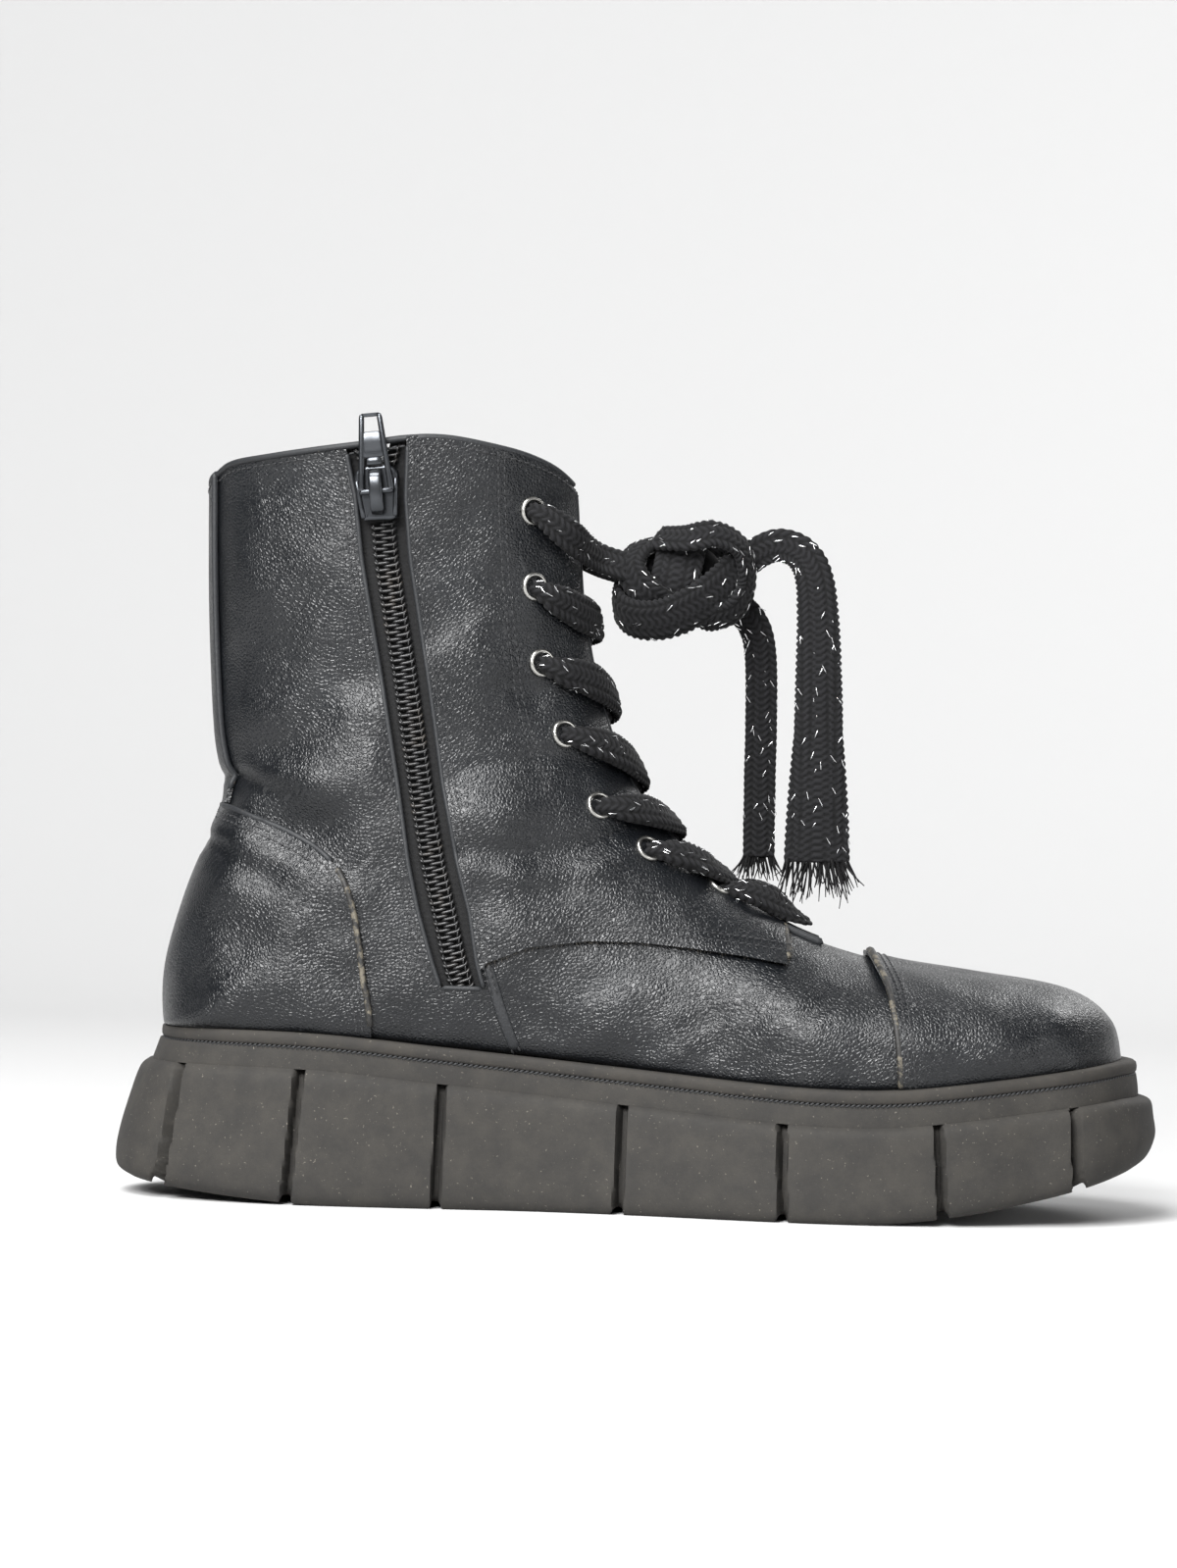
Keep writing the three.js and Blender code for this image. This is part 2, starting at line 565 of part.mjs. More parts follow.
// The upper and what is sewn on it
const throat = throatCut(capEndSection, 0);
const facingThroat = throatCut(tongueStartSection, 0);
const outerForm = grownForm(0);
const upper = outerForm.subtract(grownForm(-upperWall)).subtract(floorCut).subtract(collarCut)
  .subtract(throat).subtract(slotCut).subtract(allHoles);
place('upper', upper, leather);

const overlay = wallBetween(overlayLow, overlayTop).subtract(floorCut).subtract(collarCut);
const capCurve = smooth(sidePoints(capLine), 8);
const capRegion = sidePrism([...capCurve, [ahead, atZ(-0.2)], [ahead, atZ(0.3)]], -farAside, farAside);
place('toe_cap', overlay.intersect(capRegion), leather);

const counterCurve = smooth(sidePoints(counterLine), 14);
const counterRegion = sidePrism([...counterCurve, [behind, atZ(-0.2)]], -farAside, farAside);
place('heel_counter', overlay.intersect(counterRegion), leather);

const stripRegion = new THREE.BoxGeometry(upperLength / 3, backStripWidth, shaftHeight);
stripRegion.translate(heelX, form[heelRow][0].y, atZ(counterLine[1][1]) + shaftHeight / 2 + 2 * seamGap);
place('back_strip', overlay.intersect(solidOf(stripRegion)), leather);

const facingCurve = sidePoints(facingLine);
const zipCentre = zip.map(row => [atX(row.along), atZ(row.height)]);
const facingOutline = [...facingCurve.slice(1), [ahead, atZ(0.4)], [ahead, above], ...zipCentre];
const facingRegion = side => (side < 0 ? sidePrism(facingOutline, -farAside, middle)
  : sidePrism(facingOutline, middle, farAside));
const facing = side => overlay.intersect(facingRegion(side)).subtract(facingThroat).subtract(allHoles);
place('facing_inner', facing(-1).subtract(slotCut), leather);
place('facing_outer', facing(1), leather);

// The tongue, a padded slab under the throat
function formSlab(rows, fromColumn, toColumn, low, high) {
  const columns = Array.from({ length: toColumn - fromColumn + 1 }, (_, k) => fromColumn + k);
  const [under, over] = [low, high].map(offset => rows.map(row => columns.map(
    column => offsetPoint(row, column, offset))));
  const faces = [];
  const [lastRow, lastOne] = [rows.length - 1, columns.length - 1];
  for (let i = 1; i <= lastRow; i += 1) {
    for (let j = 1; j <= lastOne; j += 1) {
      const cell = grid => quad(grid[i - 1][j - 1], grid[i - 1][j], grid[i][j], grid[i][j - 1]);
      faces.push(...cell(over), ...flip(cell(under)));
    }
    faces.push(...quad(over[i][0], under[i][0], under[i - 1][0], over[i - 1][0]));
    faces.push(...quad(over[i - 1][lastOne], under[i - 1][lastOne], under[i][lastOne], over[i][lastOne]));
  }
  for (let j = 1; j <= lastOne; j += 1) {
    faces.push(...quad(over[0][j - 1], under[0][j - 1], under[0][j], over[0][j]));
    faces.push(...quad(over[lastRow][j], under[lastRow][j], under[lastRow][j - 1], over[lastRow][j - 1]));
  }
  return solid(faces);
}

const tongueColumns = 3; // facets on each side of the ridge
const tongueRows = places.map((_, row) => row).filter(row => places[row] >= tongueStartSection);
const tongueTop = -upperWall - seamGap;
const tongue = formSlab(tongueRows, sideSteps - tongueColumns, sideSteps + tongueColumns,
  tongueTop - tongueThickness, tongueTop);
place('tongue', tongue.subtract(collarCut), lining);

// The zip: tape behind the slot, coil in it, slider at its top and the pull
const tapeTop = -upperWall - seamGap;
const tape = wallBetween(tapeTop - tapeThickness, tapeTop).subtract(collarCut)
  .intersect(zipBand(row => row.half * coilWidth + tapeMargin, 0, 2));
const coilWall = wallBetween(-upperWall, -seamGap);

function makeSlider() {
  const { point, normal } = overForm(...Object.values(onSide(...sliderAt, -1)), 0);
  const [low, high] = [zip[3], zip[2]];
  const up = new THREE.Vector3(atX(high.along) - atX(low.along), 0, atZ(high.height) - atZ(low.height));
  const lift = up.addScaledVector(normal, -up.dot(normal)).normalize();
  const side = new THREE.Vector3().crossVectors(normal, lift).negate();
  const basis = new THREE.Matrix4().makeBasis(side, normal.clone().negate(), lift);
  return basis.setPosition(point);
}
const sliderFrame = makeSlider();
const sliderHeight = 13.4;
const sliderTop = 5.2; // half width at the shoulders, and below
const sliderFoot = 4;
const plate = 1.2;
const bridgeLength = 10;
const bridgeWidth = 3.6;
const bridgeRise = pullBar + 4 * seamGap;
const barHeight = 0.4; // of the pull's bar over the slider's middle

// A block in the slider's own frame: x across, y inwards, z up along the zip
function block(fromX, toX, fromY, toY, fromZ, toZ) {
  const geometry = new THREE.BoxGeometry(toX - fromX, toY - fromY, toZ - fromZ);
  geometry.translate((fromX + toX) / 2, (fromY + toY) / 2, (fromZ + toZ) / 2);
  return solidOf(geometry);
}

function sliderPlate(fromY, toY) {
  const half = sliderHeight / 2;
  const [neck, shoulder, top] = [half * 0.3, half * 0.75, sliderTop * 0.6];
  return sidePrism([[-sliderFoot, -half], [sliderFoot, -half], [sliderTop, neck], [sliderTop, shoulder],
    [top, half], [-top, half], [-sliderTop, shoulder], [-sliderTop, neck]], fromY, toY);
}

const front = -2 * seamGap; // the front plate's inner face
const channel = upperWall + tapeThickness + 4 * seamGap; // room for coil and tape between the plates
const webHalf = 1.2;
function sliderBody() {
  const outside = front - plate;
  const top = outside - bridgeRise;
  const web = block(-webHalf, webHalf, front - plate / 2, front + channel + plate / 2, 0, sliderHeight * 0.4);
  const [low, high] = [barHeight - bridgeLength / 2, barHeight + bridgeLength / 2];
  const half = bridgeWidth / 2;
  const bridge = block(-half, half, top - plate, outside + plate / 2, low, high)
    .subtract(block(-bridgeWidth, bridgeWidth, top, outside, low + plate, high - plate));
  const back = sliderPlate(front + channel, front + channel + plate);
  return sliderPlate(outside, front).add(back).add(web).add(bridge);
}

const toZip = geometry => geometry.transform(sliderFrame.elements);
const coilEnd = block(-farAside, farAside, -farAside / 4, farAside / 4, -sliderHeight / 2 - seamGap, farAside);
const coil = coilWall.intersect(zipBand(() => coilWidth / 2, 0.05, 2)).subtract(toZip(coilEnd));
place('zip_coil', coil, lining);
const tapeParting = sidePrism([[-webHalf - seamGap, -seamGap], [webHalf + seamGap, -seamGap],
  [coilWidth, shaftHeight / 4], [-coilWidth, shaftHeight / 4]], -farAside / 4, farAside / 4);
place('zip_tape', tape.subtract(toZip(tapeParting)), lining);
const sliderSolid = toZip(sliderBody());
place('zip_slider', sliderSolid, gunmetal);

function pullBody() {
  const half = pullThickness / 2;
  const bottom = -pullBar / 2;
  const shoulder = pullLength * 0.82;
  const outline = sidePrism([[-pullLowHalf, bottom], [pullLowHalf, bottom], [pullHighHalf, shoulder],
    [pullHighHalf * 0.8, pullLength + bottom], [-pullHighHalf * 0.8, pullLength + bottom],
    [-pullHighHalf, shoulder]], -half, half);
  const window = bridgeWidth / 2 + 2 * seamGap;
  const opening = sidePrism([[-window, pullBar / 2], [window, pullBar / 2], [window, pullLength * 0.33],
    [window * 0.5, pullLength * 0.4], [-window * 0.5, pullLength * 0.4], [-window, pullLength * 0.33]],
  -farAside, farAside);
  const eye = block(-pullEye / 2, pullEye / 2, -farAside, farAside, pullLength * 0.75, pullLength * 0.9);
  return outline.subtract(opening).subtract(eye);
}

const hingeY = front - plate - bridgeRise / 2;
const pullMatrix = sliderFrame.clone()
  .multiply(new THREE.Matrix4().makeTranslation(0, hingeY, barHeight))
  .multiply(new THREE.Matrix4().makeRotationX(-THREE.MathUtils.degToRad(pullLean)));
place('zip_pull', pullBody().transform(pullMatrix.elements), gunmetal);

// Eyelets: a rounded flange over the facing, and a barrel through it and the upper
function makeEyelet({ row, column }) {
  const { point, normal } = overForm(row, column, overlayTop + seamGap);
  const barrel = eyeletBore + barrelWall;
  const depth = overlayTop + seamGap + upperWall * 0.85;
  const profile = [[eyeletBore, -depth], [barrel, -depth], [barrel, 0], [eyeletRadius, 0],
    [eyeletRadius * 0.8, flangeHeight], [eyeletBore, flangeHeight * 0.6], [eyeletBore, -depth]];
  const geometry = new THREE.LatheGeometry(profile.map(([x, y]) => new THREE.Vector2(x, y)), 8);
  geometry.rotateX(Math.PI / 2);
  return solidOf(geometry.applyMatrix4(frameAt(point, normal)));
}

eyeletPlaces.forEach((pair, i) => {
  place(`eyelet_inner_${i + 1}`, makeEyelet(pair[0]), nickel);
  place(`eyelet_outer_${i + 1}`, makeEyelet(pair[1]), nickel);
});

// Laces: a flat ribbon over a list of points, each with the direction that its flat side faces
function ribbon(stations, width, thickness) {
  const loops = stations.map(({ point, normal }, i) => {
    const before = stations[Math.max(0, i - 1)].point;
    const after = stations[Math.min(stations.length - 1, i + 1)].point;
    const run = after.clone().sub(before).normalize();
    const across = new THREE.Vector3().crossVectors(run, normal).normalize();
    const out = new THREE.Vector3().crossVectors(across, run).normalize();
    const [half, high] = [width(i / (stations.length - 1)) / 2, thickness / 2];
    return [[-half, -high], [-half, high], [half, high], [half, -high]]
      .map(([a, b]) => point.clone().addScaledVector(across, a).addScaledVector(out, b));
  });
  return loft(loops);
}

// A ribbon between two places on the form, over the shares of the way that the stations name
const laceOver = overlayTop + 2.4 * seamGap + laceThickness / 2;
const laceUnder = tongueTop + 2 * seamGap + laceThickness / 2;
function laceRun(from, to, stations) {
  return ribbon(stations.map(([share, offset]) => overForm(
    from.row + (to.row - from.row) * share,
    from.column + (to.column - from.column) * share,
    offset,
  )), () => laceWidth, laceThickness);
}

const crossing = [[0.15, laceOver], [0.26, laceOver], [0.37, laceOver], [0.48, laceOver],
  [0.55, (laceOver + laceUnder) / 2], [0.61, laceUnder]];
for (let i = 1; i < eyelets.length - 1; i += 1) {
  const [upperPair, lowerPair] = [eyeletPlaces[i], eyeletPlaces[i + 1]];
  const cross = laceRun(upperPair[0], lowerPair[1], crossing)
    .add(laceRun(upperPair[1], lowerPair[0], crossing));
  place(`lace_cross_${i + 1}`, cross, braid);
}
const [barInner, barOuter] = eyeletPlaces[eyelets.length - 1];
const barStations = [0.14, 0.26, 0.38, 0.5, 0.62, 0.74, 0.86].map(share => [share, laceOver]);
place('lace_bar', laceRun(barInner, barOuter, barStations), braid);

// The knot in front of the throat, and the two ends that hang from it, given from the knot's centre
const knotAt = [0.5287, 0.7755]; // share of the upper's length, and of the shaft's height over the heel
const knotCentre = new THREE.Vector3(atX(knotAt[0]), -2, atZ(knotAt[1]));
const knotSize = [16, 11, 15]; // half its length, width and height
const knot = new THREE.SphereGeometry(1, 12, 8).rotateX(Math.PI / 2).scale(...knotSize);
knot.translate(...knotCentre.toArray());

const topRuns = eyeletPlaces[0].map(eyelet => {
  const start = overForm(eyelet.row, eyelet.column + Math.sign(sideSteps - eyelet.column) * 0.9, laceOver);
  const halfway = eyelet.column + (sideSteps - eyelet.column) * 0.5;
  const edge = overForm(eyelet.row - 0.2, halfway, laceOver + laceThickness);
  const end = { point: knotCentre.clone().setX(knotCentre.x - knotSize[0] - 1.2 * laceThickness),
    normal: new THREE.Vector3(0, start.normal.y, 1).normalize() };
  end.point.y += Math.sign(start.point.y - end.point.y) * laceThickness;
  end.point.z += laceWidth / 2;
  const middleOf = {
    point: edge.point.clone().lerp(end.point, 0.5),
    normal: edge.normal.clone().lerp(end.normal, 0.5),
  };
  return ribbon([start, edge, middleOf, end], () => laceWidth, laceThickness);
});
place('lace_top', topRuns[0].add(topRuns[1]), braid);
place('lace_knot', solidOf(knot), braid);

const endA = [
  [15.6, -1.8, 5.1], [20, -3, 8.4], [24.4, -4.3, 9.9], [29, -5.5, 8.6], [32.1, -6.5, 5.2],
  [33.7, -7.4, 0.2], [34.4, -8.2, -6.4], [34.8, -8.9, -14], [35, -9.5, -22], [35.2, -10, -30],
  [35.3, -10.4, -38], [35.4, -10.7, -46], [35.5, -10.9, -54], [35.6, -11, -62], [35.7, -11, -69.6],
];
const endB = [
  [15.2, 2.5, -6], [18, 3.6, -8.8], [19.9, 4.8, -12.6], [20.8, 5.9, -17.1], [21.2, 6.9, -22],
  [21.4, 7.7, -27.2], [21.5, 8.4, -32.5], [21.6, 8.9, -37.8], [21.6, 9.3, -43.1], [21.6, 9.6, -48.4],
  [21.7, 9.8, -53.7], [21.7, 9.9, -59], [21.8, 10, -64.2], [21.9, 10, -69],
];
const facesSide = new THREE.Vector3(0, -1, 0);
const hanging = points => points.map(point => ({
  point: new THREE.Vector3(...point).add(knotCentre),
  normal: facesSide,
}));
place('lace_end_a', ribbon(hanging(endA), share => laceWidth * (1 + share ** 2), laceThickness), braid);
place('lace_end_b', ribbon(hanging(endB), () => laceWidth, laceThickness), braid);

export default boot;
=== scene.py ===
# %% [markdown]
# # A worn combat boot, piece by piece
# This script dresses a measured part, a left ankle boot, as the worn boot of a photograph.
# Every new piece is a surface computed as one array of points: a function of two parameters
# on a grid, or a profile carried along a path. Sizes are in millimetres and turn into metres
# only when a mesh is made. +X points to the toe, the inner side with the zip is at -Y.

import math

import bpy
import numpy as np
from mathutils import Matrix, Vector


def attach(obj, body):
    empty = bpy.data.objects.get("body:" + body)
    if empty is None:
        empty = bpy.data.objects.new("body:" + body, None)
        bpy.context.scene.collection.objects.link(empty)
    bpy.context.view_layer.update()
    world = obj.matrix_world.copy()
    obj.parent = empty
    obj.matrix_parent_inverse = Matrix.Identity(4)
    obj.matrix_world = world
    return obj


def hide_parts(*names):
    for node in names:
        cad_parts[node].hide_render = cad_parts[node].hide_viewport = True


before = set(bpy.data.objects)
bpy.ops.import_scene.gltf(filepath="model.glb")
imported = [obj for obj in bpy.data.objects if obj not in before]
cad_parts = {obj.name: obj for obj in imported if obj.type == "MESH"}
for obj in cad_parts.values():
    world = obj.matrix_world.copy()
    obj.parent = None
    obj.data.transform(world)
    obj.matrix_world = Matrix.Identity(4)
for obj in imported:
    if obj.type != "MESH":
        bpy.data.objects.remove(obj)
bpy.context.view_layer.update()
rng = np.random.default_rng(7)
print("nodes in the frame:", len(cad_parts))

# %% [markdown]
# ## Small helpers
# A mesh is made from an array of points and an array of faces. Small repeated things, such as
# stitches and zip teeth, are one template copied to many frames, in one array as well.
# Colours are written as on a screen and turned into linear light by one function.


# %% Helpers
def linear(code):
    """sRGB code such as "2b2f35" to linear light, with alpha 1."""
    values = [int(code[i:i + 2], 16) / 255 for i in (0, 2, 4)]
    return [v / 12.92 if v < 0.04045 else ((v + 0.055) / 1.055) ** 2.4 for v in values] + [1]


def make(name, points, faces, material, body="boot", smooth=True, sharp=None, uv=None):
    """A mesh object from an (N, 3) array in mm and lists of faces, riding on a body."""
    mesh = bpy.data.meshes.new(name)
    points = np.asarray(points, float).reshape(-1, 3) * 0.001
    mesh.from_pydata(points, [], np.asarray(faces).tolist() if isinstance(faces, np.ndarray) else faces)
    mesh.polygons.foreach_set("use_smooth", np.full(len(mesh.polygons), smooth))
    if sharp:
        mesh.set_sharp_from_angle(angle=math.radians(sharp))
    if uv is not None:
        corners = np.zeros(len(mesh.loops), np.int32)
        mesh.loops.foreach_get("vertex_index", corners)
        layer = mesh.uv_layers.new(name="mm")
        layer.data.foreach_set("uv", np.asarray(uv, np.float32).reshape(-1, 2)[corners].ravel())
    for one in material if isinstance(material, list) else [material]:
        mesh.materials.append(one)
    obj = bpy.data.objects.new(name.replace(" ", "_"), mesh)
    bpy.context.scene.collection.objects.link(obj)
    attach(obj, body)
    return obj


def grid_faces(rows, columns, wrap_rows=False, wrap_columns=False, start=0, turned=False):
    """Quads of a grid of points stored row by row."""
    i = np.arange(rows - (not wrap_rows))[:, None]
    j = np.arange(columns - (not wrap_columns))[None]
    a = i * columns + j
    b = i * columns + (j + 1) % columns
    c = (i + 1) % rows * columns + (j + 1) % columns
    d = (i + 1) % rows * columns + j
    quads = np.stack([a, b, c, d], -1).reshape(-1, 4) + start
    return quads[:, ::-1] if turned else quads


print("mid grey as linear light:", round(linear("808080")[0], 3))

# %% [markdown]
# ## Lines
# A seam, an edge or a lace is a line through a few points. A Bezier curve object would draw it
# too, but its handles have to be set by hand. A Catmull-Rom cubic goes through every point that
# it is given. The line is then cut again at even steps of its length, so that stitches and rings
# of points don't bunch up at the bends.


# %% Lines
def unit(v):
    """Vectors made one long."""
    return v / np.maximum(np.linalg.norm(v, axis=-1, keepdims=True), 1e-9)


def find(fn, low, high, passes=40):
    """The place between low and high where fn, rising through zero, is zero: repeated halving."""
    low, high = np.array(low, float), np.array(high, float)
    for _ in range(passes):
        mid = (low + high) / 2
        above = fn(mid) > 0
        high = np.where(above, mid, high)
        low = np.where(above, low, mid)
    return (low + high) / 2


def smooth_line(points, count):
    """A line of count points through the given ones, evenly spaced along its length."""
    points = np.asarray(points, float)
    u = np.linspace(0, len(points) - 1, 40 * len(points))
    return even(catmull(points, u), count)


def catmull(table, u):
    """Catmull-Rom: a cubic through each row of the table, u counted in rows."""
    u = np.asarray(u, float)
    i = np.clip(np.floor(u).astype(int), 0, len(table) - 2)
    f = (u - i)[..., None]
    a, b, c, d = (table[np.clip(i + k, 0, len(table) - 1)] for k in (-1, 0, 1, 2))
    return b + f / 2 * (c - a + f * (2 * a - 5 * b + 4 * c - d + f * (3 * (b - c) + d - a)))


def even(points, count):
    """The same line with count points, evenly spaced along its length."""
    steps = np.linalg.norm(np.diff(points, axis=0), axis=1)
    at = np.concatenate([[0], np.cumsum(steps)])
    want = np.linspace(0, at[-1], count)
    return np.stack([np.interp(want, at, points[:, k]) for k in range(points.shape[1])], -1)


def length_of(points):
    """The sum of a line's steps."""
    return float(np.linalg.norm(np.diff(points, axis=0), axis=1).sum())


print("a bend through three points:", round(length_of(smooth_line([(10, 0), (7, 7), (0, 10)], 50)), 2), "mm")

# %% [markdown]
# ## Profiles and copies
# A stitch is a small rounded bar and a folded edge is a bead: both are a profile carried along a
# path. A curve object with a bevel could make them, but its width and height can't change apart,
# and it doesn't turn with the leather. The many copies are one array and one object, because
# a thousand objects would be slow to handle.


# %% Profiles and copies
def capsule(length, width, height, around=8, along=7):
    """A rounded bar along X: circles of radius sin(a) carried from end to end, squashed to size."""
    a = np.linspace(0, math.pi, along)[:, None]
    b = np.linspace(0, 2 * math.pi, around, endpoint=False)[None]
    bulge = np.sin(a) ** 0.6
    points = np.stack([-np.cos(a) * length / 2 + 0 * b, bulge * np.cos(b) * width / 2,
                       bulge * np.sin(b) * height / 2], -1)
    return points.reshape(-1, 3), grid_faces(along, around, wrap_columns=True)


def scatter(template, origins, axes):
    """Copies of (points, faces) at origins (N, 3), turned by axes (N, 3, 3) whose rows are x, y, z."""
    points, faces = template
    placed = np.einsum("vk,nkj->nvj", points, axes) + origins[:, None]
    shift = np.arange(len(origins))[:, None, None] * len(points)
    return placed.reshape(-1, 3), (faces[None] + shift).reshape(-1, faces.shape[1])


def frames_along(points, normals):
    """Unit axes along a line: its run, across it, and out of the surface."""
    run = unit(np.gradient(points, axis=0))
    out = unit(normals - (normals * run).sum(-1, keepdims=True) * run)
    return np.stack([run, np.cross(out, run), out], 1)


def tube(points, normals, width, height, around=10, power=1.0):
    """A profile carried along a path: (cos b, sin b) raised to a power, scaled by half the width
    across the surface and half the height out of it, and closed to a point at both ends."""
    axes = frames_along(points, normals)
    count = len(points)
    width = np.broadcast_to(np.asarray(width, float), (count,)).copy()
    height = np.broadcast_to(np.asarray(height, float), (count,)).copy()
    width[[0, -1]] *= 0.02
    height[[0, -1]] *= 0.02
    b = np.linspace(0, 2 * math.pi, around, endpoint=False)
    ca = np.sign(np.cos(b)) * abs(np.cos(b)) ** power
    sa = np.sign(np.sin(b)) * abs(np.sin(b)) ** power
    rings = (points[:, None] + axes[:, 1][:, None] * (ca * width[:, None] / 2)[..., None]
             + axes[:, 2][:, None] * (sa * height[:, None] / 2)[..., None])
    return rings.reshape(-1, 3), grid_faces(count, around, wrap_columns=True)


def joined(parts):
    """Several (points, faces) as one."""
    starts = np.cumsum([0] + [len(p) for p, _ in parts[:-1]])
    faces = [f + start for (_, f), start in zip(parts, starts)]
    return np.concatenate([p for p, _ in parts]), np.concatenate(faces)


print("a capsule has", len(capsule(1.5, 0.5, 0.42)[0]), "points")


# %% [markdown]
# ## Nodes
# A finish could be painted as an image, but an image shows its pixels close up and needs a
# flattened surface. Here each finish is a few nodes on the object's own coordinates: a base
# colour, noise at the scale of the real grain or dust, and a bump. Short functions add them.


# %% Nodes
def add(tree, kind, links=(), **settings):
    """A node with settings; sockets are named in links as {input: value or (node, output)}."""
    node = tree.nodes.new(kind)
    for key, value in settings.items():
        setattr(node, key, value)
    for key, value in dict(links).items():
        if isinstance(value, tuple) and isinstance(value[0], bpy.types.Node):
            tree.links.new(value[0].outputs[value[1]], node.inputs[key])
        else:
            node.inputs[key].default_value = value
    return node


def material(name, color, roughness, **sockets):
    """An empty Principled material with its tree, shader and Object coordinates in mm."""
    mat = bpy.data.materials.new(name)
    mat.use_nodes = True
    tree = mat.node_tree
    shader = tree.nodes["Principled BSDF"]
    shader.inputs["Base Color"].default_value = linear(color)
    shader.inputs["Roughness"].default_value = roughness
    for key, value in sockets.items():
        shader.inputs[key.replace("_", " ")].default_value = value
    coordinate = add(tree, "ShaderNodeTexCoord")
    place = add(tree, "ShaderNodeVectorMath", {0: (coordinate, "Object"), 1: (1000, 1000, 1000)},
                operation="MULTIPLY")
    return mat, tree, shader, place


def noise(tree, place, size, detail=4, rough=0.55):
    """Noise whose blobs are about size mm across."""
    return add(tree, "ShaderNodeTexNoise", {"Vector": (place, 0), "Scale": 1 / size, "Detail": detail,
                                             "Roughness": rough})


def ramp(tree, source, low, high, start=0.0, end=1.0):
    """A value going smoothly from start to end while the source goes from low to high."""
    return add(tree, "ShaderNodeMapRange", {"Value": source, "From Min": low, "From Max": high,
                                             "To Min": start, "To Max": end}, interpolation_type="SMOOTHSTEP")


def mix(tree, factor, a, b):
    """Colour a going to colour b by a factor; its colour comes out of output 2."""
    node = add(tree, "ShaderNodeMix", data_type="RGBA")
    for socket, value in ((0, factor), (6, a), (7, b)):
        if isinstance(value, tuple):
            tree.links.new(value[0].outputs[value[1]], node.inputs[socket])
        else:
            node.inputs[socket].default_value = value
    return node


def bump(tree, shader, height, distance, strength=1.0, under=None):
    """A bump of a distance in mm on the shader, over the bump under it."""
    links = {"Height": height, "Distance": distance * 0.001, "Strength": strength}
    if under:
        links["Normal"] = (under, "Normal")
    node = add(tree, "ShaderNodeBump", links)
    tree.links.new(node.outputs["Normal"], shader.inputs["Normal"])
    return node


print("materials so far:", len(bpy.data.materials))

# %% [markdown]
# ## Leather
# The upper is a coated synthetic: a smooth pigmented film over a pebbled print. The print is far
# too fine for geometry, so it is a bump, over a second bump for wrinkles and a third, broad one
# for the buckling between the creases. Worn places are greyer, in soft patches.


# %% Leather
def leather(name, dark, light, grain=0.9, depth=0.05, scuffs=0.25):
    """Coated synthetic leather: cells of a pebbled print, fine wrinkles and greyer worn patches."""
    mat, tree, shader, place = material(name, dark, 0.4, Specular_IOR_Level=0.45)
    wear = noise(tree, place, 28, 5, 0.6)
    scuff = ramp(tree, (wear, "Fac"), 0.5, 0.78, 0, scuffs)
    color = mix(tree, (scuff, "Result"), linear(dark), linear(light))
    tree.links.new(color.outputs[2], shader.inputs["Base Color"])
    rough = ramp(tree, (noise(tree, place, 9, 5), "Fac"), 0.25, 0.75, 0.3, 0.4)
    tree.links.new(rough.outputs["Result"], shader.inputs["Roughness"])
    cells = add(tree, "ShaderNodeTexVoronoi", {"Vector": (place, 0), "Scale": 1 / grain, "Randomness": 1},
                feature="DISTANCE_TO_EDGE")
    pebble = ramp(tree, (cells, "Distance"), 0, 0.32)
    buckled = bump(tree, shader, (noise(tree, place, 24, 1.0), "Fac"), 6.0, 0.8)
    wrinkled = bump(tree, shader, (noise(tree, place, 5, 2), "Fac"), 0.25, 0.6, buckled)
    bump(tree, shader, (pebble, "Result"), depth, 0.8, wrinkled)
    return mat


# Upper: black coated split leather, printed with a fine pebble
upper_leather = leather("coated synthetic leather, pebble print", "0b0d10", "202327", depth=0.11)
# Toe cap: the same film, greyer where it has been rubbed
toe_leather = leather("coated synthetic leather, rubbed toe", "0c0e11", "27292c", depth=0.11, scuffs=0.45)


print("leather nodes:", len(upper_leather.node_tree.nodes))

# %% [markdown]
# ## Edges, thread and lining
# Where a turned edge rubs, its film cracks off and the beige backing shows in flakes. Noise with
# much fine detail, cut off sharply, leaves such flakes. The thread and the knitted lining are
# plain and matt, and need little more than a colour.


# %% Edges, thread and lining
def worn_edge(name, base, worn, share):
    """A turned leather edge whose film has cracked off to the beige backing in places."""
    mat, tree, shader, place = material(name, base, 0.6)
    fac = ramp(tree, (noise(tree, place, 3.0, 6, 0.7), "Fac"), 0.66 - share, 0.74 - share * 0.8)
    fine = mix(tree, (noise(tree, place, 0.9, 3), "Fac"), linear(worn), linear("3a352e"))
    color = mix(tree, (fac, "Result"), linear(base), (fine, 2))
    tree.links.new(color.outputs[2], shader.inputs["Base Color"])
    bump(tree, shader, (noise(tree, place, 0.8, 5), "Fac"), 0.15, 0.8)
    return mat


# Folded edge, black, with little wear
edge_black = worn_edge("turned edge, black film", "16181b", "3c3a36", 0.02)
# Cut edge rubbed through to the backing
edge_worn = worn_edge("cut edge, film worn to the backing", "191817", "6f695b", 0.17)

# Polyester sewing thread, black with a grey sheen
thread, tree, shader, place = material("polyester sewing thread", "121316", 0.6)
shader.inputs["Sheen Weight"].default_value = 0.1

# Knitted lining, matt black
lining, tree, shader, place = material("knitted lining", "17181a", 0.95)
bump(tree, shader, (noise(tree, place, 0.5, 2), "Fac"), 0.2)


print("edge nodes:", len(edge_worn.node_tree.nodes))

# %% [markdown]
# ## Rubber
# The sole is black rubber, moulded with a matt skin, and walking has left it brown and dusty. Two
# noises do that: a broad one mixes in the dust, and a fine one, cut off high, leaves pale specks.


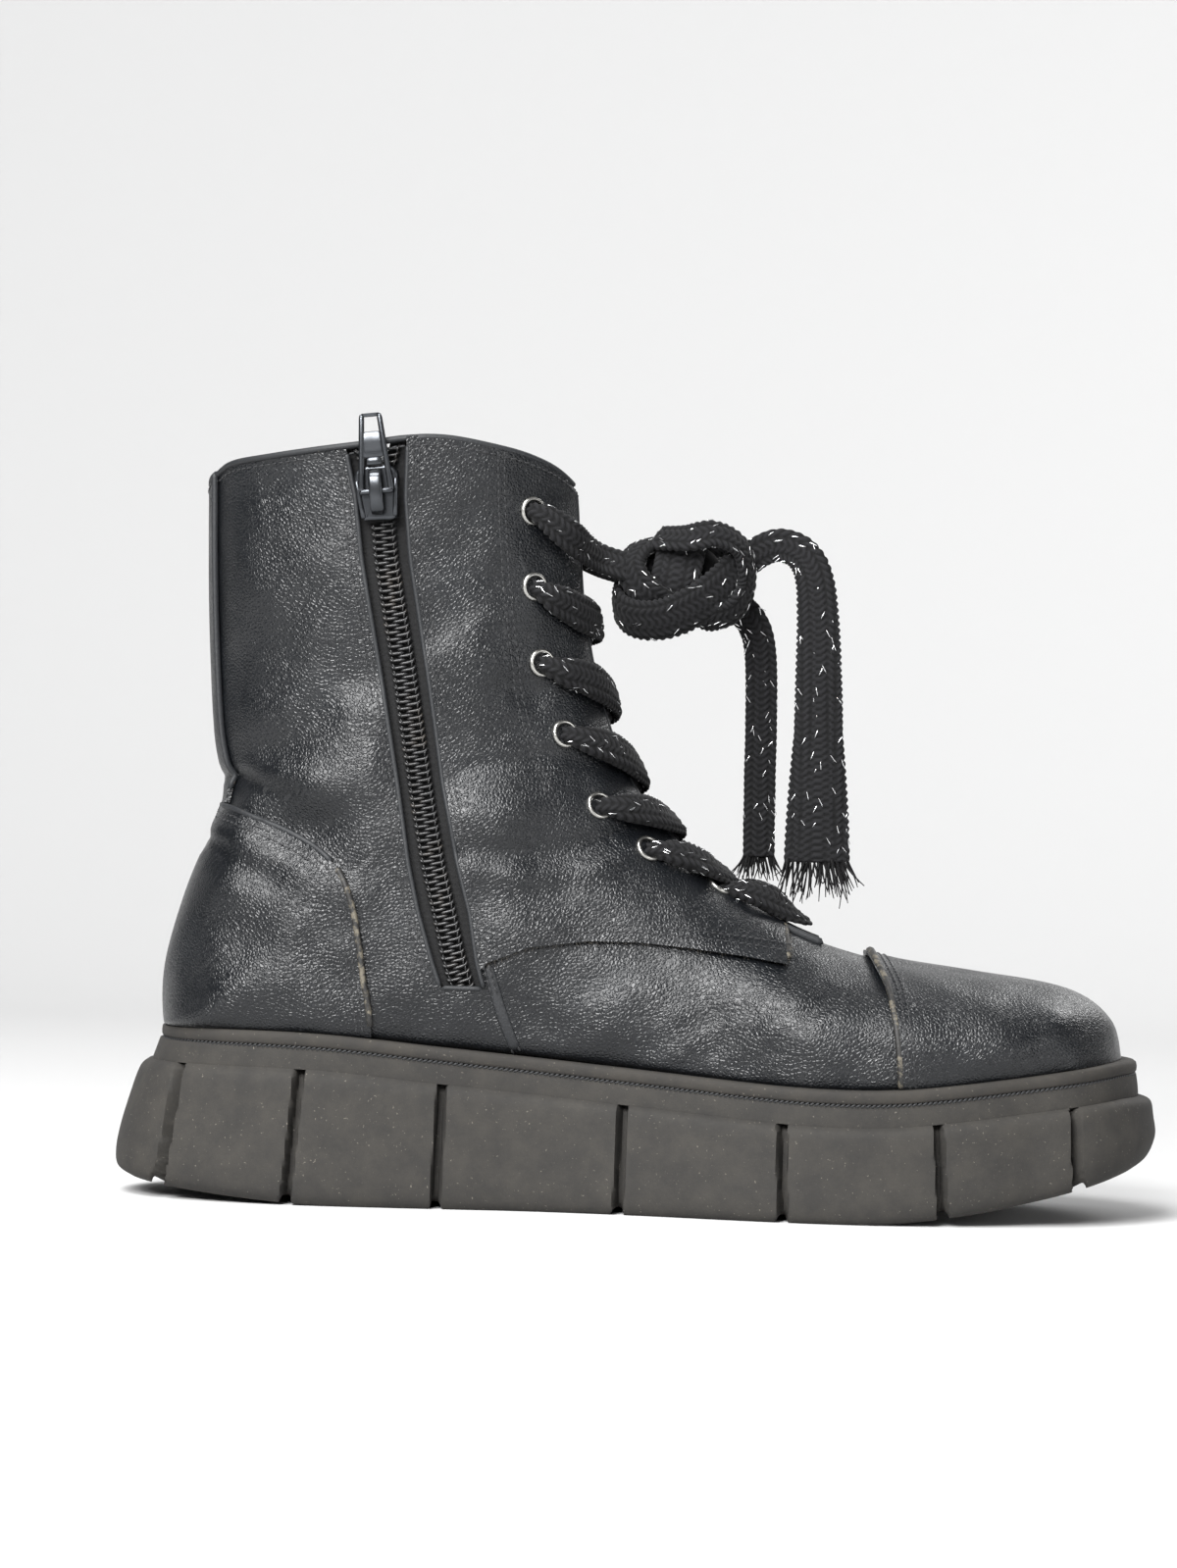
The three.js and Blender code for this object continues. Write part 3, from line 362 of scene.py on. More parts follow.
# %% Rubber
def rubber(name, base, dust):
    """Moulded rubber: matt, with brown dust in blotches and fine pale specks."""
    mat, tree, shader, place = material(name, base, 0.82, Specular_IOR_Level=0.35)
    blotch = ramp(tree, (noise(tree, place, 9, 8, 0.72), "Fac"), 0.3, 0.75, 0.1, 0.55)
    dusty = mix(tree, (blotch, "Result"), linear(base), linear(dust))
    fine = ramp(tree, (noise(tree, place, 0.7, 2), "Fac"), 0.68, 0.75, 0, 0.35)
    speck = mix(tree, (fine, "Result"), (dusty, 2), linear("8b857a"))
    tree.links.new(speck.outputs[2], shader.inputs["Base Color"])
    first = bump(tree, shader, (noise(tree, place, 0.6, 4), "Fac"), 0.06, 0.7)
    bump(tree, shader, (noise(tree, place, 5, 5), "Fac"), 0.25, 0.5, first)
    return mat


# Outsole and welt: moulded black rubber, grey with walking dust
sole_rubber = rubber("moulded rubber, dusty", "252423", "3e3b36")
welt_rubber = rubber("moulded rubber welt", "252423", "3d3933")

print("rubber nodes:", len(sole_rubber.node_tree.nodes))

# %% [markdown]
# ## Lace, metal and zip
# The braid's colour has painted shade: darker in the valleys of its relief and greyer, a painted
# highlight, on the crowns of its yarns. The height of the relief is known when the lace is made, so
# it is kept in a UV map and read here, which a pattern in space couldn't follow. The metals are
# plated and need only a colour and a gloss.

# %% Lace, metal and zip
# Lace: black polyester braid
lace_black, tree, shader, place = material("polyester braid, black", "0b0b0c", 0.8, Specular_IOR_Level=0.2)
# Painted shade and highlight: the relief height in the UV map darkens the colour in the valleys of the braid
# and makes it greyer on the crowns of the yarns.
high = add(tree, "ShaderNodeSeparateXYZ", {0: (add(tree, "ShaderNodeUVMap", uv_map="mm"), "UV")})
yarn_with_painted_shade = mix(tree, (ramp(tree, (high, "X"), 0.3, 0.85), "Result"), linear("030304"), linear("161618"))
tree.links.new(yarn_with_painted_shade.outputs[2], shader.inputs["Base Color"])
shader.inputs["Sheen Weight"].default_value = 0.05
shader.inputs["Sheen Roughness"].default_value = 0.5
bump(tree, shader, (noise(tree, place, 0.35, 3), "Fac"), 0.12)
# Lurex: slit metallised film twisted into the braid
lurex = material("lurex, silver film", "d9dadb", 0.25, Metallic=1.0)[0]
# Eyelets: nickel plated brass, polished by the laces
nickel = material("nickel plate", "a9a8a4", 0.28, Metallic=1.0)[0]
# Zip slider and pull: zinc casting with a black nickel finish
gunmetal = material("black nickel on zinc", "404245", 0.24, Metallic=0.9)[0]
# Zip coil: nylon monofilament
coil_nylon, tree, shader, place = material("nylon coil", "1b1b1c", 0.36)
dirt = ramp(tree, (noise(tree, place, 8, 6, 0.7), "Fac"), 0.45, 0.75, 0, 0.7)
tint = mix(tree, (dirt, "Result"), linear("1b1b1c"), linear("38322b"))
tree.links.new(tint.outputs[2], shader.inputs["Base Color"])
# Zip tape: woven polyester
tape_weave, tree, shader, place = material("woven zip tape", "131314", 0.9)
weave = add(tree, "ShaderNodeTexWave", {"Vector": (place, 0), "Scale": 1.1}, bands_direction="Z")
bump(tree, shader, (weave, "Fac"), 0.15)
print("materials:", len(bpy.data.materials))

# %% [markdown]
# ## Camera, floor and light
# The camera looks square at the inner side from 1.2 m and is rolled by a degree and a half, as
# the photo is. A plane would leave a horizon line, so the floor is one pale sheet that curves up
# behind the boot and again behind the camera, where the leather mirrors it. Large soft lamps
# give the long satin highlights. The Standard view keeps the colours as they are written.

# %% Camera and stage
camera = bpy.data.objects.new("camera", bpy.data.cameras.new("camera"))
bpy.context.scene.collection.objects.link(camera)
camera.data.sensor_fit = "VERTICAL"
camera.data.sensor_height = 36
camera.data.lens = 113.5
camera.matrix_world = (Matrix.Translation((-0.0139, -1.25, 0.1056)) @ Matrix.Rotation(math.pi / 2, 4, "X")
                       @ Matrix.Rotation(math.radians(1.5), 4, "Z"))
bpy.context.scene.camera = camera

turn = np.linspace(0, math.pi / 2, 24)
rise = np.stack([700 * np.sin(turn), 700 - 700 * np.cos(turn)], -1)
behind_camera = (rise * [-1, 1] + [-3300, 0])[::-1]
behind_boot = rise + [900, 0]
profile = np.concatenate([[[-4000, 4000]], behind_camera, behind_boot, [[1600, 4000]]])
sweep = np.stack([np.insert(profile, 0, x, 1) for x in (-3500, 3500)], 1)
paper = material("pale paper sweep", "c4c4c4", 0.9)[0]
floor = make("sweep", sweep, grid_faces(len(profile), 2), paper, body="boot")
floor.parent = None


def lamp(name, place, aim, size, power):
    """A white rectangular lamp, in metres and watts, turned from its place to what it lights."""
    data = bpy.data.lights.new(name, "AREA")
    data.shape = "RECTANGLE"
    data.size, data.size_y = size
    data.energy = power
    obj = bpy.data.objects.new(name, data)
    bpy.context.scene.collection.objects.link(obj)
    direction = Vector(aim) - Vector(place)
    obj.matrix_world = Matrix.Translation(place) @ direction.to_track_quat("-Z", "Y").to_matrix().to_4x4()


lamp("window", (-0.6, -1.5, 0.95), (0, 0, 0.09), (0.9, 0.6), 58)
lamp("high", (-0.4, -0.7, 1.4), (0, 0, 0.09), (0.7, 0.5), 26)
lamp("top", (0, 0.3, 2.1), (0, 0.3, 0), (3.6, 3.2), 7)
lamp("wall", (0, 0.7, 2.6), (0, 1.9, 0.5), (3.0, 0.5), 9)
lamp("side", (1.4, -1.2, 0.35), (0, 0, 0.1), (0.5, 0.8), 7)
lamp("back", (0.9, 1.2, 1.1), (0, 0, 0.1), (0.8, 0.7), 9)
lamp("front paper", (0, -2.0, 2.6), (0, -3.9, 0.8), (3.0, 0.6), 45)
world = bpy.data.worlds.new("room")
world.use_nodes = True
world.node_tree.nodes["Background"].inputs["Color"].default_value = linear("f4f6f8")
world.node_tree.nodes["Background"].inputs["Strength"].default_value = 0.12
bpy.context.scene.world = world
bpy.context.scene.view_settings.view_transform = "Standard"
print("camera lens", camera.data.lens)

# %% [markdown]
# ## The form of the boot
# A boot is pulled over a last. Its form is a fan of sections that starts flat at the toe and
# turns round the instep until it stands level at the collar. u counts the sections, and k goes
# round each one: -12 at the inner welt, 0 on the ridge, 12 at the outer welt. Both halves of
# a section are superellipses, so the toe can be boxy and the shaft nearly oval. Sculpting would
# follow the photo too, but wouldn't keep to the measured part, so a table gives every section.

# %% The form
LENGTH, BALL, HEEL, SHAFT = 238.5, 88.0, 43.0, 147.0
HEEL_X, SHIFT = -118.1, 0.294
# along, up, over, rise, ridge, foot in, foot out, widest in, widest out, widest at, low, crown
SECTIONS = np.array([
    [0.9, 0, 1, 0, -0.057, 0.355, 0.417, 0.365, 0.428, 0.09, 2.1, 1.75],
    [0.861, 0, 0.988, 0.063, -0.059, 0.395, 0.468, 0.405, 0.48, 0.14, 2.2, 2],
    [0.81, 0, 0.945, 0.118, -0.059, 0.427, 0.509, 0.44, 0.525, 0.2, 2.3, 2.25],
    [0.752, 0, 0.852, 0.163, -0.057, 0.443, 0.534, 0.459, 0.553, 0.24, 2.4, 2.3],
    [0.689, 0, 0.754, 0.203, -0.051, 0.444, 0.545, 0.461, 0.566, 0.27, 2.4, 2.25],
    [0.618, 0, 0.668, 0.244, -0.045, 0.412, 0.53, 0.435, 0.555, 0.28, 2.4, 2.15],
    [0.513, 0, 0.601, 0.299, -0.034, 0.347, 0.484, 0.384, 0.511, 0.3, 2.4, 2.05],
    [0.391, 0, 0.544, 0.369, -0.017, 0.314, 0.423, 0.375, 0.458, 0.33, 2.45, 2.05],
    [0.265, 0, 0.496, 0.449, -0.006, 0.33, 0.39, 0.38, 0.423, 0.36, 2.5, 2.15],
    [0.14, 0, 0.466, 0.54, 0.006, 0.336, 0.359, 0.384, 0.401, 0.39, 2.6, 2.25],
    [0.052, 0, 0.448, 0.626, 0.014, 0.265, 0.277, 0.385, 0.392, 0.42, 2.6, 2.3],
    [0.013, 0, 0.439, 0.68, 0.018, 0.157, 0.16, 0.383, 0.386, 0.44, 2.6, 2.35],
    [0, 0, 0.433, 0.726, 0.023, 0, 0, 0.38, 0.381, 0.46, 2.6, 2.4],
    [-0.001, 0.095, 0.428, 0.773, 0.023, 0, 0, 0.375, 0.375, 0.48, 2.6, 2.4],
    [0.018, 0.218, 0.425, 0.82, 0.023, 0, 0, 0.369, 0.369, 0.5, 2.5, 2.4],
    [0.043, 0.327, 0.423, 0.861, 0.023, 0, 0, 0.364, 0.364, 0.5, 2.4, 2.4],
    [0.056, 0.398, 0.421, 0.895, 0.023, 0, 0, 0.358, 0.358, 0.5, 2.3, 2.4],
    [0.045, 0.497, 0.42, 0.932, 0.023, 0, 0, 0.359, 0.359, 0.5, 2.3, 2.4],
    [0.037, 0.68, 0.417, 0.983, 0.023, 0, 0, 0.369, 0.369, 0.5, 2.3, 2.4],
    [0.033, 0.878, 0.413, 1.05, 0.023, 0, 0, 0.381, 0.381, 0.49, 2.3, 2.4],
    [0.031, 1.068, 0.408, 1.145, 0.023, 0, 0, 0.386, 0.386, 0.48, 2.3, 2.4],
])
SECTIONS[:, 5:7] **= 2
WELT = np.array([[0, 1], [0.155, 0.993], [0.295, 0.93], [0.465, 0.851], [0.625, 0.781], [0.7, 0.765],
                 [0.76, 0.772], [0.825, 0.809], [0.9, 0.865], [0.965, 0.914], [1, 0.94]])
welt_fine = smooth_line(WELT, 300)


def at_x(share):
    return HEEL_X + LENGTH * np.asarray(share, float)


def at_z(share):
    return HEEL + SHAFT * np.asarray(share, float)


def welt_z(share):
    return HEEL * np.interp(share, welt_fine[:, 0], welt_fine[:, 1])


def section(u, k):
    """A point of a section. Above its widest place width = widest cos(a)^(2/crown) and height =
    sin(a)^(2/crown), below it the width goes from the widest to the foot by cos(b)^(2/low)."""
    along, up, over, rise, ridge, foot_in, foot_out, in_, out, at, low, crown = np.moveaxis(
        catmull(SECTIONS, np.clip(u, 0, 20)), -1, 0)
    step = np.abs(k)
    foot = BALL * np.sqrt(np.maximum(0, np.where(k < 0, foot_in, foot_out)))
    most = BALL * np.where(k < 0, in_, out)
    a = np.clip(1 - step / 8, 0, 1) * math.pi / 2
    b = np.clip((step - 8) / 4, 0, 1) * math.pi / 2
    share = np.where(step <= 8, at + (1 - at) * np.sin(a) ** (2 / crown), at * (1 - np.sin(b)))
    width = np.where(step <= 8, most * np.maximum(0, np.cos(a)) ** (2 / crown),
                     foot + (most - foot) * np.maximum(0, np.cos(b)) ** (2 / low))
    low_z = welt_z(along) + np.maximum(0, up) * SHAFT
    high_z = welt_z(over) + rise * SHAFT
    return np.stack([at_x(along + (over - along) * share), BALL * ridge + SHIFT + np.sign(k) * width,
                     low_z + (high_z - low_z) * share], -1)


def form(u, k):
    """A point of the form. Round the heel, where a section's foot leaves the welt and starts up
    the back, it is the weighted mean of seven sections, so no corner shows; the welt line is kept."""
    u, k = np.broadcast_arrays(np.asarray(u, float), np.asarray(k, float))
    points = section(u, k)
    spread = 1.5 * np.exp(-((u - 12) / 1.5) ** 2) * (1 - np.clip((np.abs(k) - 8) / 4, 0, 1) ** 6)
    near = spread > 0.03
    total = 0
    for shift, weight in ((-1, 1), (-0.67, 2), (-0.33, 3), (0, 4), (0.33, 3), (0.67, 2), (1, 1)):
        total = total + weight / 16 * section(u[near] + shift * spread[near], k[near])
    points[near] = total
    return points


def normal(u, k):
    """Outward: the cross product of the form's two slopes, level where it stands on the welt."""
    u, k = np.broadcast_arrays(np.asarray(u, float), np.asarray(k, float))
    e = 0.02
    du = form(np.minimum(u + e, 20), k) - form(np.maximum(u - e, 0), k)
    dk = form(u, np.clip(k + e, -12, 12)) - form(u, np.clip(k - e, -12, 12))
    n = np.cross(du, dk)
    n[np.abs(k) > 11.98, 1] *= (u[np.abs(k) > 11.98] < 12)
    edge = np.clip((np.abs(k) - 8) / 4, 0, 1) ** 2 * np.clip(12.5 - u, 0, 1)
    n = unit(n)
    n[..., 2] *= (1 - edge) * np.clip(u * 1.5, 0, 1) ** 0.5
    return unit(n)


print("toe tip", form(0, 0).round(1), "normal at the instep", normal(12.0, 0.0).round(2))
# The product of the slopes may come out inward, so its sign is settled here once
SIGN = 1 if normal(12.0, 0.0)[0] > 0 else -1

# %% [markdown]
# ## Creases
# The wearer's ankle has folded the leather. Each crease is a line in the side view with a depth
# and a width: the surface sinks by depth exp(-(distance/width)^2), and a negative depth is
# a ridge. Lines are read from the photo on the inner side; the outer side gets a made-up set.
# A cloth simulation would fold the leather anywhere, and these folds have their places.

# %% Creases
# side, depth, width, points (x, z)
CREASES = [
    (-1, 1.1, 2.6, [(-112, 90), (-107.8, 88.1), (-99.8, 84), (-87.6, 78.3)]),
    (-1, -0.7, 3.5, [(-104.3, 91), (-94.6, 87.5), (-84.1, 81.6)]),
    (-1, 0.35, 1.4, [(-103.3, 82.7), (-94.3, 78.6), (-85.1, 75.3)]),
    (-1, 0.3, 1.3, [(-98, 86.4), (-90, 82.6), (-82, 77.8)]),
    (-1, 1.5, 2.2, [(-104, 105.6), (-101, 104.9), (-95, 102.6), (-85.8, 100.7)]),
    (-1, 2.4, 7, [(-95.5, 95), (-85.6, 93), (-76, 94.4)]),
    (-1, -1.0, 4.5, [(-98, 108.5), (-88, 105), (-75, 102.5)]),
    (-1, 0.5, 1.6, [(-85.4, 87.3), (-74.6, 84.7), (-61.3, 83.6)]),
    (-1, 0.45, 1.3, [(-89.1, 90.1), (-74.6, 87.4), (-61.4, 87)]),
    (-1, 0.35, 1.2, [(-80.5, 81.4), (-70.9, 80.5), (-60, 79.5)]),
    (-1, 0.3, 1.1, [(-87, 85), (-76, 82.6), (-64, 81.6)]),
    (-1, 0.5, 1.8, [(-45.9, 108.2), (-38, 109.9), (-29.6, 110.3)]),
    (-1, -1.1, 6, [(-44.9, 97.5), (-28.1, 99.1)]),
    (-1, 1.2, 3.2, [(-44.2, 88.8), (-27.8, 87.8), (-13.5, 90.6), (-2.8, 95.7)]),
    (-1, -0.6, 2.6, [(-42.6, 83.6), (-26.5, 82.2), (-10.5, 84.6), (-0.3, 90)]),
    (-1, 0.5, 1.3, [(-20, 86.6), (-10, 88.2), (-1.5, 93)]),
    (-1, 0.4, 1.1, [(-17, 89.6), (-9, 92.2), (-2, 97.5)]),
    (-1, 0.6, 1.7, [(-31, 61), (-25.8, 54.8), (-22.9, 47.1), (-20.4, 42.4)]),
    (-1, 0.4, 1.6, [(-32.8, 57), (-29.2, 49.9), (-26.7, 42.7)]),
    (-1, 0.35, 1.8, [(-2.5, 36.2), (11.7, 46.1), (25.8, 52)]),
    (-1, 0.35, 1.6, [(9.5, 36.3), (23.7, 45.2), (36, 54.5)]),
    (-1, 0.4, 1.6, [(26.3, 36.7), (40.4, 49.3), (47, 57)]),
    (-1, 0.35, 1.3, [(33.2, 50.3), (42.7, 51.7), (50.3, 55.5)]),
    (-1, 0.8, 4, [(-36.1, 128.9), (-28.9, 127.9), (-24.1, 129.2)]),
    (-1, 0.7, 3, [(-27.3, 112.3), (-18.9, 112.1), (-8, 108.6)]),
    (-1, 1.0, 9, [(-98, 176), (-82, 176.5)]),
    (-1, -0.9, 8, [(-90, 122), (-79.7, 136), (-72.7, 150)]),
    (1, 1.2, 2.6, [(-110, 92), (-98, 86), (-86, 80.5)]),
    (1, 1.6, 2.6, [(-104, 104), (-92, 101), (-78, 99.5)]),
    (1, 2.0, 8, [(-92, 93), (-78, 91.5)]),
    (1, 0.5, 1.6, [(-84, 86), (-70, 83), (-52, 84)]),
    (1, 1.3, 3, [(-50, 91), (-32, 88), (-16, 90.5), (-5, 95)]),
    (1, -0.8, 4, [(-48, 99), (-28, 98.5)]),
    (1, 0.5, 1.5, [(-38, 82), (-20, 81.5), (-6, 86)]),
    (1, 0.5, 1.7, [(8, 38), (24, 48), (40, 58)]),
    (1, 0.45, 1.6, [(24, 38), (38, 49), (48, 58)]),
]


def relief(points, k):
    """How far the creases move the surface outward at these points."""
    total = np.zeros(points.shape[:-1])
    flat = points[..., [0, 2]]
    for side, depth, width, line in CREASES:
        line = smooth_line(line, 14)
        near = np.full(total.shape, 1e9)
        for i in range(len(line) - 1):
            a, b = line[i], line[i + 1]
            run = b - a
            t = np.clip(((flat - a) @ run) / (run @ run), 0, 1)
            # The crease fades toward both ends
            fade = math.sin(math.pi * min(1, max(0.12, (i + 0.5) / (len(line) - 1)))) ** 0.5
            gap = np.linalg.norm(flat - a - t[..., None] * run, axis=-1) / width
            near = np.minimum(near, gap + 1.2 * (1 - fade))
        total -= 1.45 * depth * np.exp(-near ** 2) * (np.sign(k) == side)
    return total


def over(u, k, offset=0.0, creased=True):
    """A point at an offset over the form with its creases, and the normal there."""
    u, k = np.broadcast_arrays(np.asarray(u, float), np.asarray(k, float))
    base = form(u, k)
    n = normal(u, k) * SIGN
    rise = offset + (relief(base, k) if creased else 0)
    return base + n * np.asarray(rise)[..., None], n


def on_side(line, side):
    """Places (u, k) on one side of the form that lie on a line seen from the side: the nearest
    grid point, then Newton steps with the form's own slopes."""
    line = np.asarray(line, float)
    gu, gk = np.meshgrid(np.linspace(0.2, 19.9, 198), side * np.linspace(0.3, 11.9, 117), indexing="ij")
    flat = form(gu, gk)[..., [0, 2]].reshape(-1, 2)
    near = ((line[:, None] - flat[None]) ** 2).sum(-1).argmin(1)
    u, k = gu.ravel()[near], gk.ravel()[near]
    for _ in range(5):
        e = 0.01
        p = form(u, k)[:, [0, 2]]
        du = (form(u + e, k)[:, [0, 2]] - p) / e
        dk = (form(u, k + e)[:, [0, 2]] - p) / e
        miss = line - p
        det = du[:, 0] * dk[:, 1] - du[:, 1] * dk[:, 0]
        det = np.where(abs(det) < 1, np.sign(det) + (det == 0), det)
        step_u = (miss[:, 0] * dk[:, 1] - miss[:, 1] * dk[:, 0]) / det
        step_k = (du[:, 0] * miss[:, 1] - du[:, 1] * miss[:, 0]) / det
        u = np.clip(u + np.clip(step_u, -0.3, 0.3), 0, 20)
        k = np.clip(k + np.clip(step_k, -0.3, 0.3), -12, 12)
    return u, k


print("collar back", over(19.5, 12.0)[0].round(1))

# %% [markdown]
# ## Shells and cuts
# Leather, lining and overlays are each a shell between two offsets of the form, closed along the
# welt and over the top. A prism with the outline of the panel, seen from the side, then trims it,
# as a clicker's knife would. The manifold solver does the cutting: it is quick and clean, and
# wants closed bodies whose faces all point outward.


# %% Shells and cuts
def shell(name, low, high, per_u, per_k, mat, inner_mat=None):
    """The closed body between two offsets over the whole form."""
    u = np.linspace(0, 20, 20 * per_u + 1)
    k = np.linspace(-12, 12, 24 * per_k + 1)
    uu, kk = np.meshgrid(u, k, indexing="ij")
    outer, n = over(uu, kk, high)
    inner = outer - n * (high - low)
    for grid in (outer, inner):
        grid[:, [0, -1], 2] -= (0.3 * (u <= 12))[:, None]
        closed = u >= 12
        grid[closed, 0] = grid[closed, -1] = (grid[closed, 0] + grid[closed, -1]) / 2
    rows, columns = uu.shape
    count = rows * columns
    faces = [grid_faces(rows, columns), grid_faces(rows, columns, start=count, turned=True)]
    at = np.arange(count).reshape(rows, columns)
    foot = at[:12 * per_u + 1]
    for edge, back in ((at[0], True), (at[-1], False), (foot[:, 0], False), (foot[:, -1], True)):
        a, b = edge[:-1], edge[1:]
        quads = np.stack([a, b, b + count, a + count], 1)
        faces.append(quads[:, ::-1] if back else quads)
    faces = np.concatenate(faces)
    points = np.concatenate([outer.reshape(-1, 3), inner.reshape(-1, 3)])
    # The two ends of a shaft row are the same points
    same = np.arange(len(points))
    for base in (0, count):
        same[at[12 * per_u:, -1] + base] = at[12 * per_u:, 0] + base
    faces = same[faces]
    used, faces = np.unique(faces, return_inverse=True)
    obj = make(name, points[used], faces.reshape(-1, 4)[:, ::-SIGN].copy(), [mat, inner_mat or mat])
    if inner_mat:
        index = np.zeros(len(obj.data.polygons), np.int32)
        index[(rows - 1) * (columns - 1):2 * (rows - 1) * (columns - 1)] = 1
        obj.data.polygons.foreach_set("material_index", index)
    return obj


def prism(outline, low_y=-150, high_y=150):
    """A closed prism across the boot over an outline (x, z), turned anticlockwise first."""
    outline = np.asarray(outline, float)
    nxt = np.roll(outline, -1, 0)
    if (outline[:, 0] * nxt[:, 1] - nxt[:, 0] * outline[:, 1]).sum() < 0:
        outline = outline[::-1]
    n = len(outline)
    points = np.concatenate([np.insert(outline, 1, y, 1) for y in (low_y, high_y)])
    i = np.arange(n)
    j = (i + 1) % n
    sides = np.stack([i, j, j + n, i + n], 1).tolist()
    return points, [list(range(n)), list(range(2 * n - 1, n - 1, -1))] + [s[::-1] for s in sides]


def trim(obj, cutter, keep=False):
    """Cuts a closed body by another: what lies in the cutter goes, or stays if keep is set."""
    points, faces = cutter
    mesh = bpy.data.meshes.new("cutter")
    faces = faces.tolist() if isinstance(faces, np.ndarray) else faces
    mesh.from_pydata(np.asarray(points) * 0.001, [], faces)
    other = bpy.data.objects.new("cutter", mesh)
    bpy.context.scene.collection.objects.link(other)
    mod = obj.modifiers.new("trim", "BOOLEAN")
    mod.object, mod.solver = other, "MANIFOLD"
    mod.operation = "INTERSECT" if keep else "DIFFERENCE"
    graph = bpy.context.evaluated_depsgraph_get()
    done = bpy.data.meshes.new_from_object(obj.evaluated_get(graph))
    if not done.polygons:
        raise RuntimeError("nothing is left of " + obj.name)
    obj.modifiers.clear()
    obj.data = done
    bpy.data.objects.remove(other)
    return obj


print("a prism over a square has", len(prism([(0, 0), (1, 0), (1, 1), (0, 1)])[1]), "faces")

# %% [markdown]
# ## Outlines of the panels
# The lines where panels end were read off the photo, as a few points each, in shares of
# the upper's length and of the shaft's height. The collar, the toe cap, the heel counter, the
# facing, the zip (top to bottom, with its half width) and the eyelets have one line each.

# %% Outlines of the panels
COLLAR = smooth_line([(at_x(a), at_z(b)) for a, b in [
    [0.014, 0.878], [0.029, 0.915], [0.038, 0.939], [0.055, 0.956], [0.094, 0.966], [0.148, 0.978],
    [0.198, 0.989], [0.24, 1], [0.282, 1.002], [0.332, 0.99], [0.366, 0.977], [0.395, 0.956],
    [0.415, 0.924], [0.426, 0.878], [0.433, 0.816]]], 90)
CAP = smooth_line([(at_x(a), at_z(b)) for a, b in [
    [0.72, 0.3], [0.729, 0.184], [0.738, 0.136], [0.75, 0.093], [0.756, 0.044], [0.761, -0.014],
    [0.766, -0.12]]], 60)
COUNTER = smooth_line([(at_x(a), at_z(b)) for a, b in [
    [-0.1, 0.374], [0.022, 0.373], [0.062, 0.369], [0.084, 0.358], [0.125, 0.333], [0.161, 0.301],
    [0.182, 0.267], [0.195, 0.218], [0.203, 0.161], [0.21, 0.087], [0.216, 0.038], [0.228, -0.12]]], 90)
FACING = np.array([(at_x(a), at_z(b)) for a, b in [
    [0.337, 0.122], [0.38, 0.15], [0.441, 0.163], [0.492, 0.163], [0.543, 0.156], [0.604, 0.144],
    [0.647, 0.133], [0.646, 0.184], [0.645, 0.4]]])
ZIP = np.array([[1.1, 0.2, 1.45], [0.986, 0.208, 1.23], [0.898, 0.214, 0.98], [0.796, 0.221, 0.95],
                [0.612, 0.242, 0.92], [0.415, 0.263, 0.87], [0.286, 0.278, 0.95], [0.204, 0.291, 1],
                [0.122, 0.303, 0.87], [0.078, 0.312, 0.84]])
zip_z, zip_x, zip_half = at_z(ZIP[:, 0]), at_x(ZIP[:, 1]), ZIP[:, 2] * 6.2
EYELETS = [[0.368, 0.884], [0.372, 0.756], [0.382, 0.627], [0.408, 0.507], [0.446, 0.386], [0.498, 0.313],
           [0.574, 0.252]]
eyelet_at = {side: on_side([(at_x(a), at_z(b)) for a, b in EYELETS], side) for side in (-1, 1)}


print("eyelets at z:", at_z(np.array(EYELETS)[:, 1]).round(1))

# %% [markdown]
# ## Upper and lining
# The upper is cut open at the collar, along the throat and at the zip, and punched for the
# eyelets. A mask on the grid would leave stepped edges, so real bodies cut it: prisms, a wedge
# that follows the ridge, and rods square to the leather. The lining is a second, thinner shell.


# %% Upper and lining
def throat_half(u, start=5.4):
    """Half the gap between the facings: 8.5 mm at the vamp, 12 mm at the collar."""
    return 8.5 + 3.5 * (u - start) / (20 - start)


def throat(start):
    """The cut along the ridge between the facings."""
    u = np.linspace(start, 20, 70)
    ridge, n = form(u, 0.0), normal(u, 0.0) * SIGN
    half = throat_half(u, start)
    loop = np.stack([ridge + n * high + np.stack([0 * u, side * half, 0 * u], -1)
                     for high, side in ((22, -1), (22, 1), (-15, 1), (-15, -1))], 1)
    ends = [[3, 2, 1, 0], [4 * len(u) - 4 + i for i in range(4)]]
    return loop.reshape(-1, 3), grid_faces(len(u), 4, wrap_columns=True).tolist() + ends


def zip_cut():
    """The band along the zip line, as wide as the slot, on the inner side."""
    left = np.stack([zip_x - zip_half, zip_z], -1)
    right = np.stack([zip_x + zip_half, zip_z], -1)
    return prism(np.concatenate([left, right[::-1]]), -150, 0)


above = [[200, COLLAR[-1][1]], [200, 290], [-180, 290], [-180, COLLAR[0][1]]]
collar_cut = prism(np.concatenate([COLLAR, above]))
# Eyelet holes: a rod with 24 sides and a radius of 2.75 mm through each
spin = np.linspace(0, 2 * math.pi, 24, endpoint=False)[None, :, None]
rod_faces = [list(range(24))[::-1], list(range(24, 48))]
rod_faces += [[i, (i + 1) % 24, (i + 1) % 24 + 24, i + 24] for i in range(24)]
rods = []
for side in (-1, 1):
    centre, out = over(*eyelet_at[side])
    across = unit(np.cross(out, [0, 0, 1.0]))
    up = np.cross(across, out)
    circle = 2.75 * (across[:, None] * np.cos(spin) + up[:, None] * np.sin(spin))
    rods += [np.concatenate([c + ring - 6 * o, c + ring + 6 * o]) for c, o, ring in zip(centre, out, circle)]
hole_faces = [[i + 48 * n for i in face] for n in range(len(rods)) for face in rod_faces]
hole_cut = (np.concatenate(rods), hole_faces)

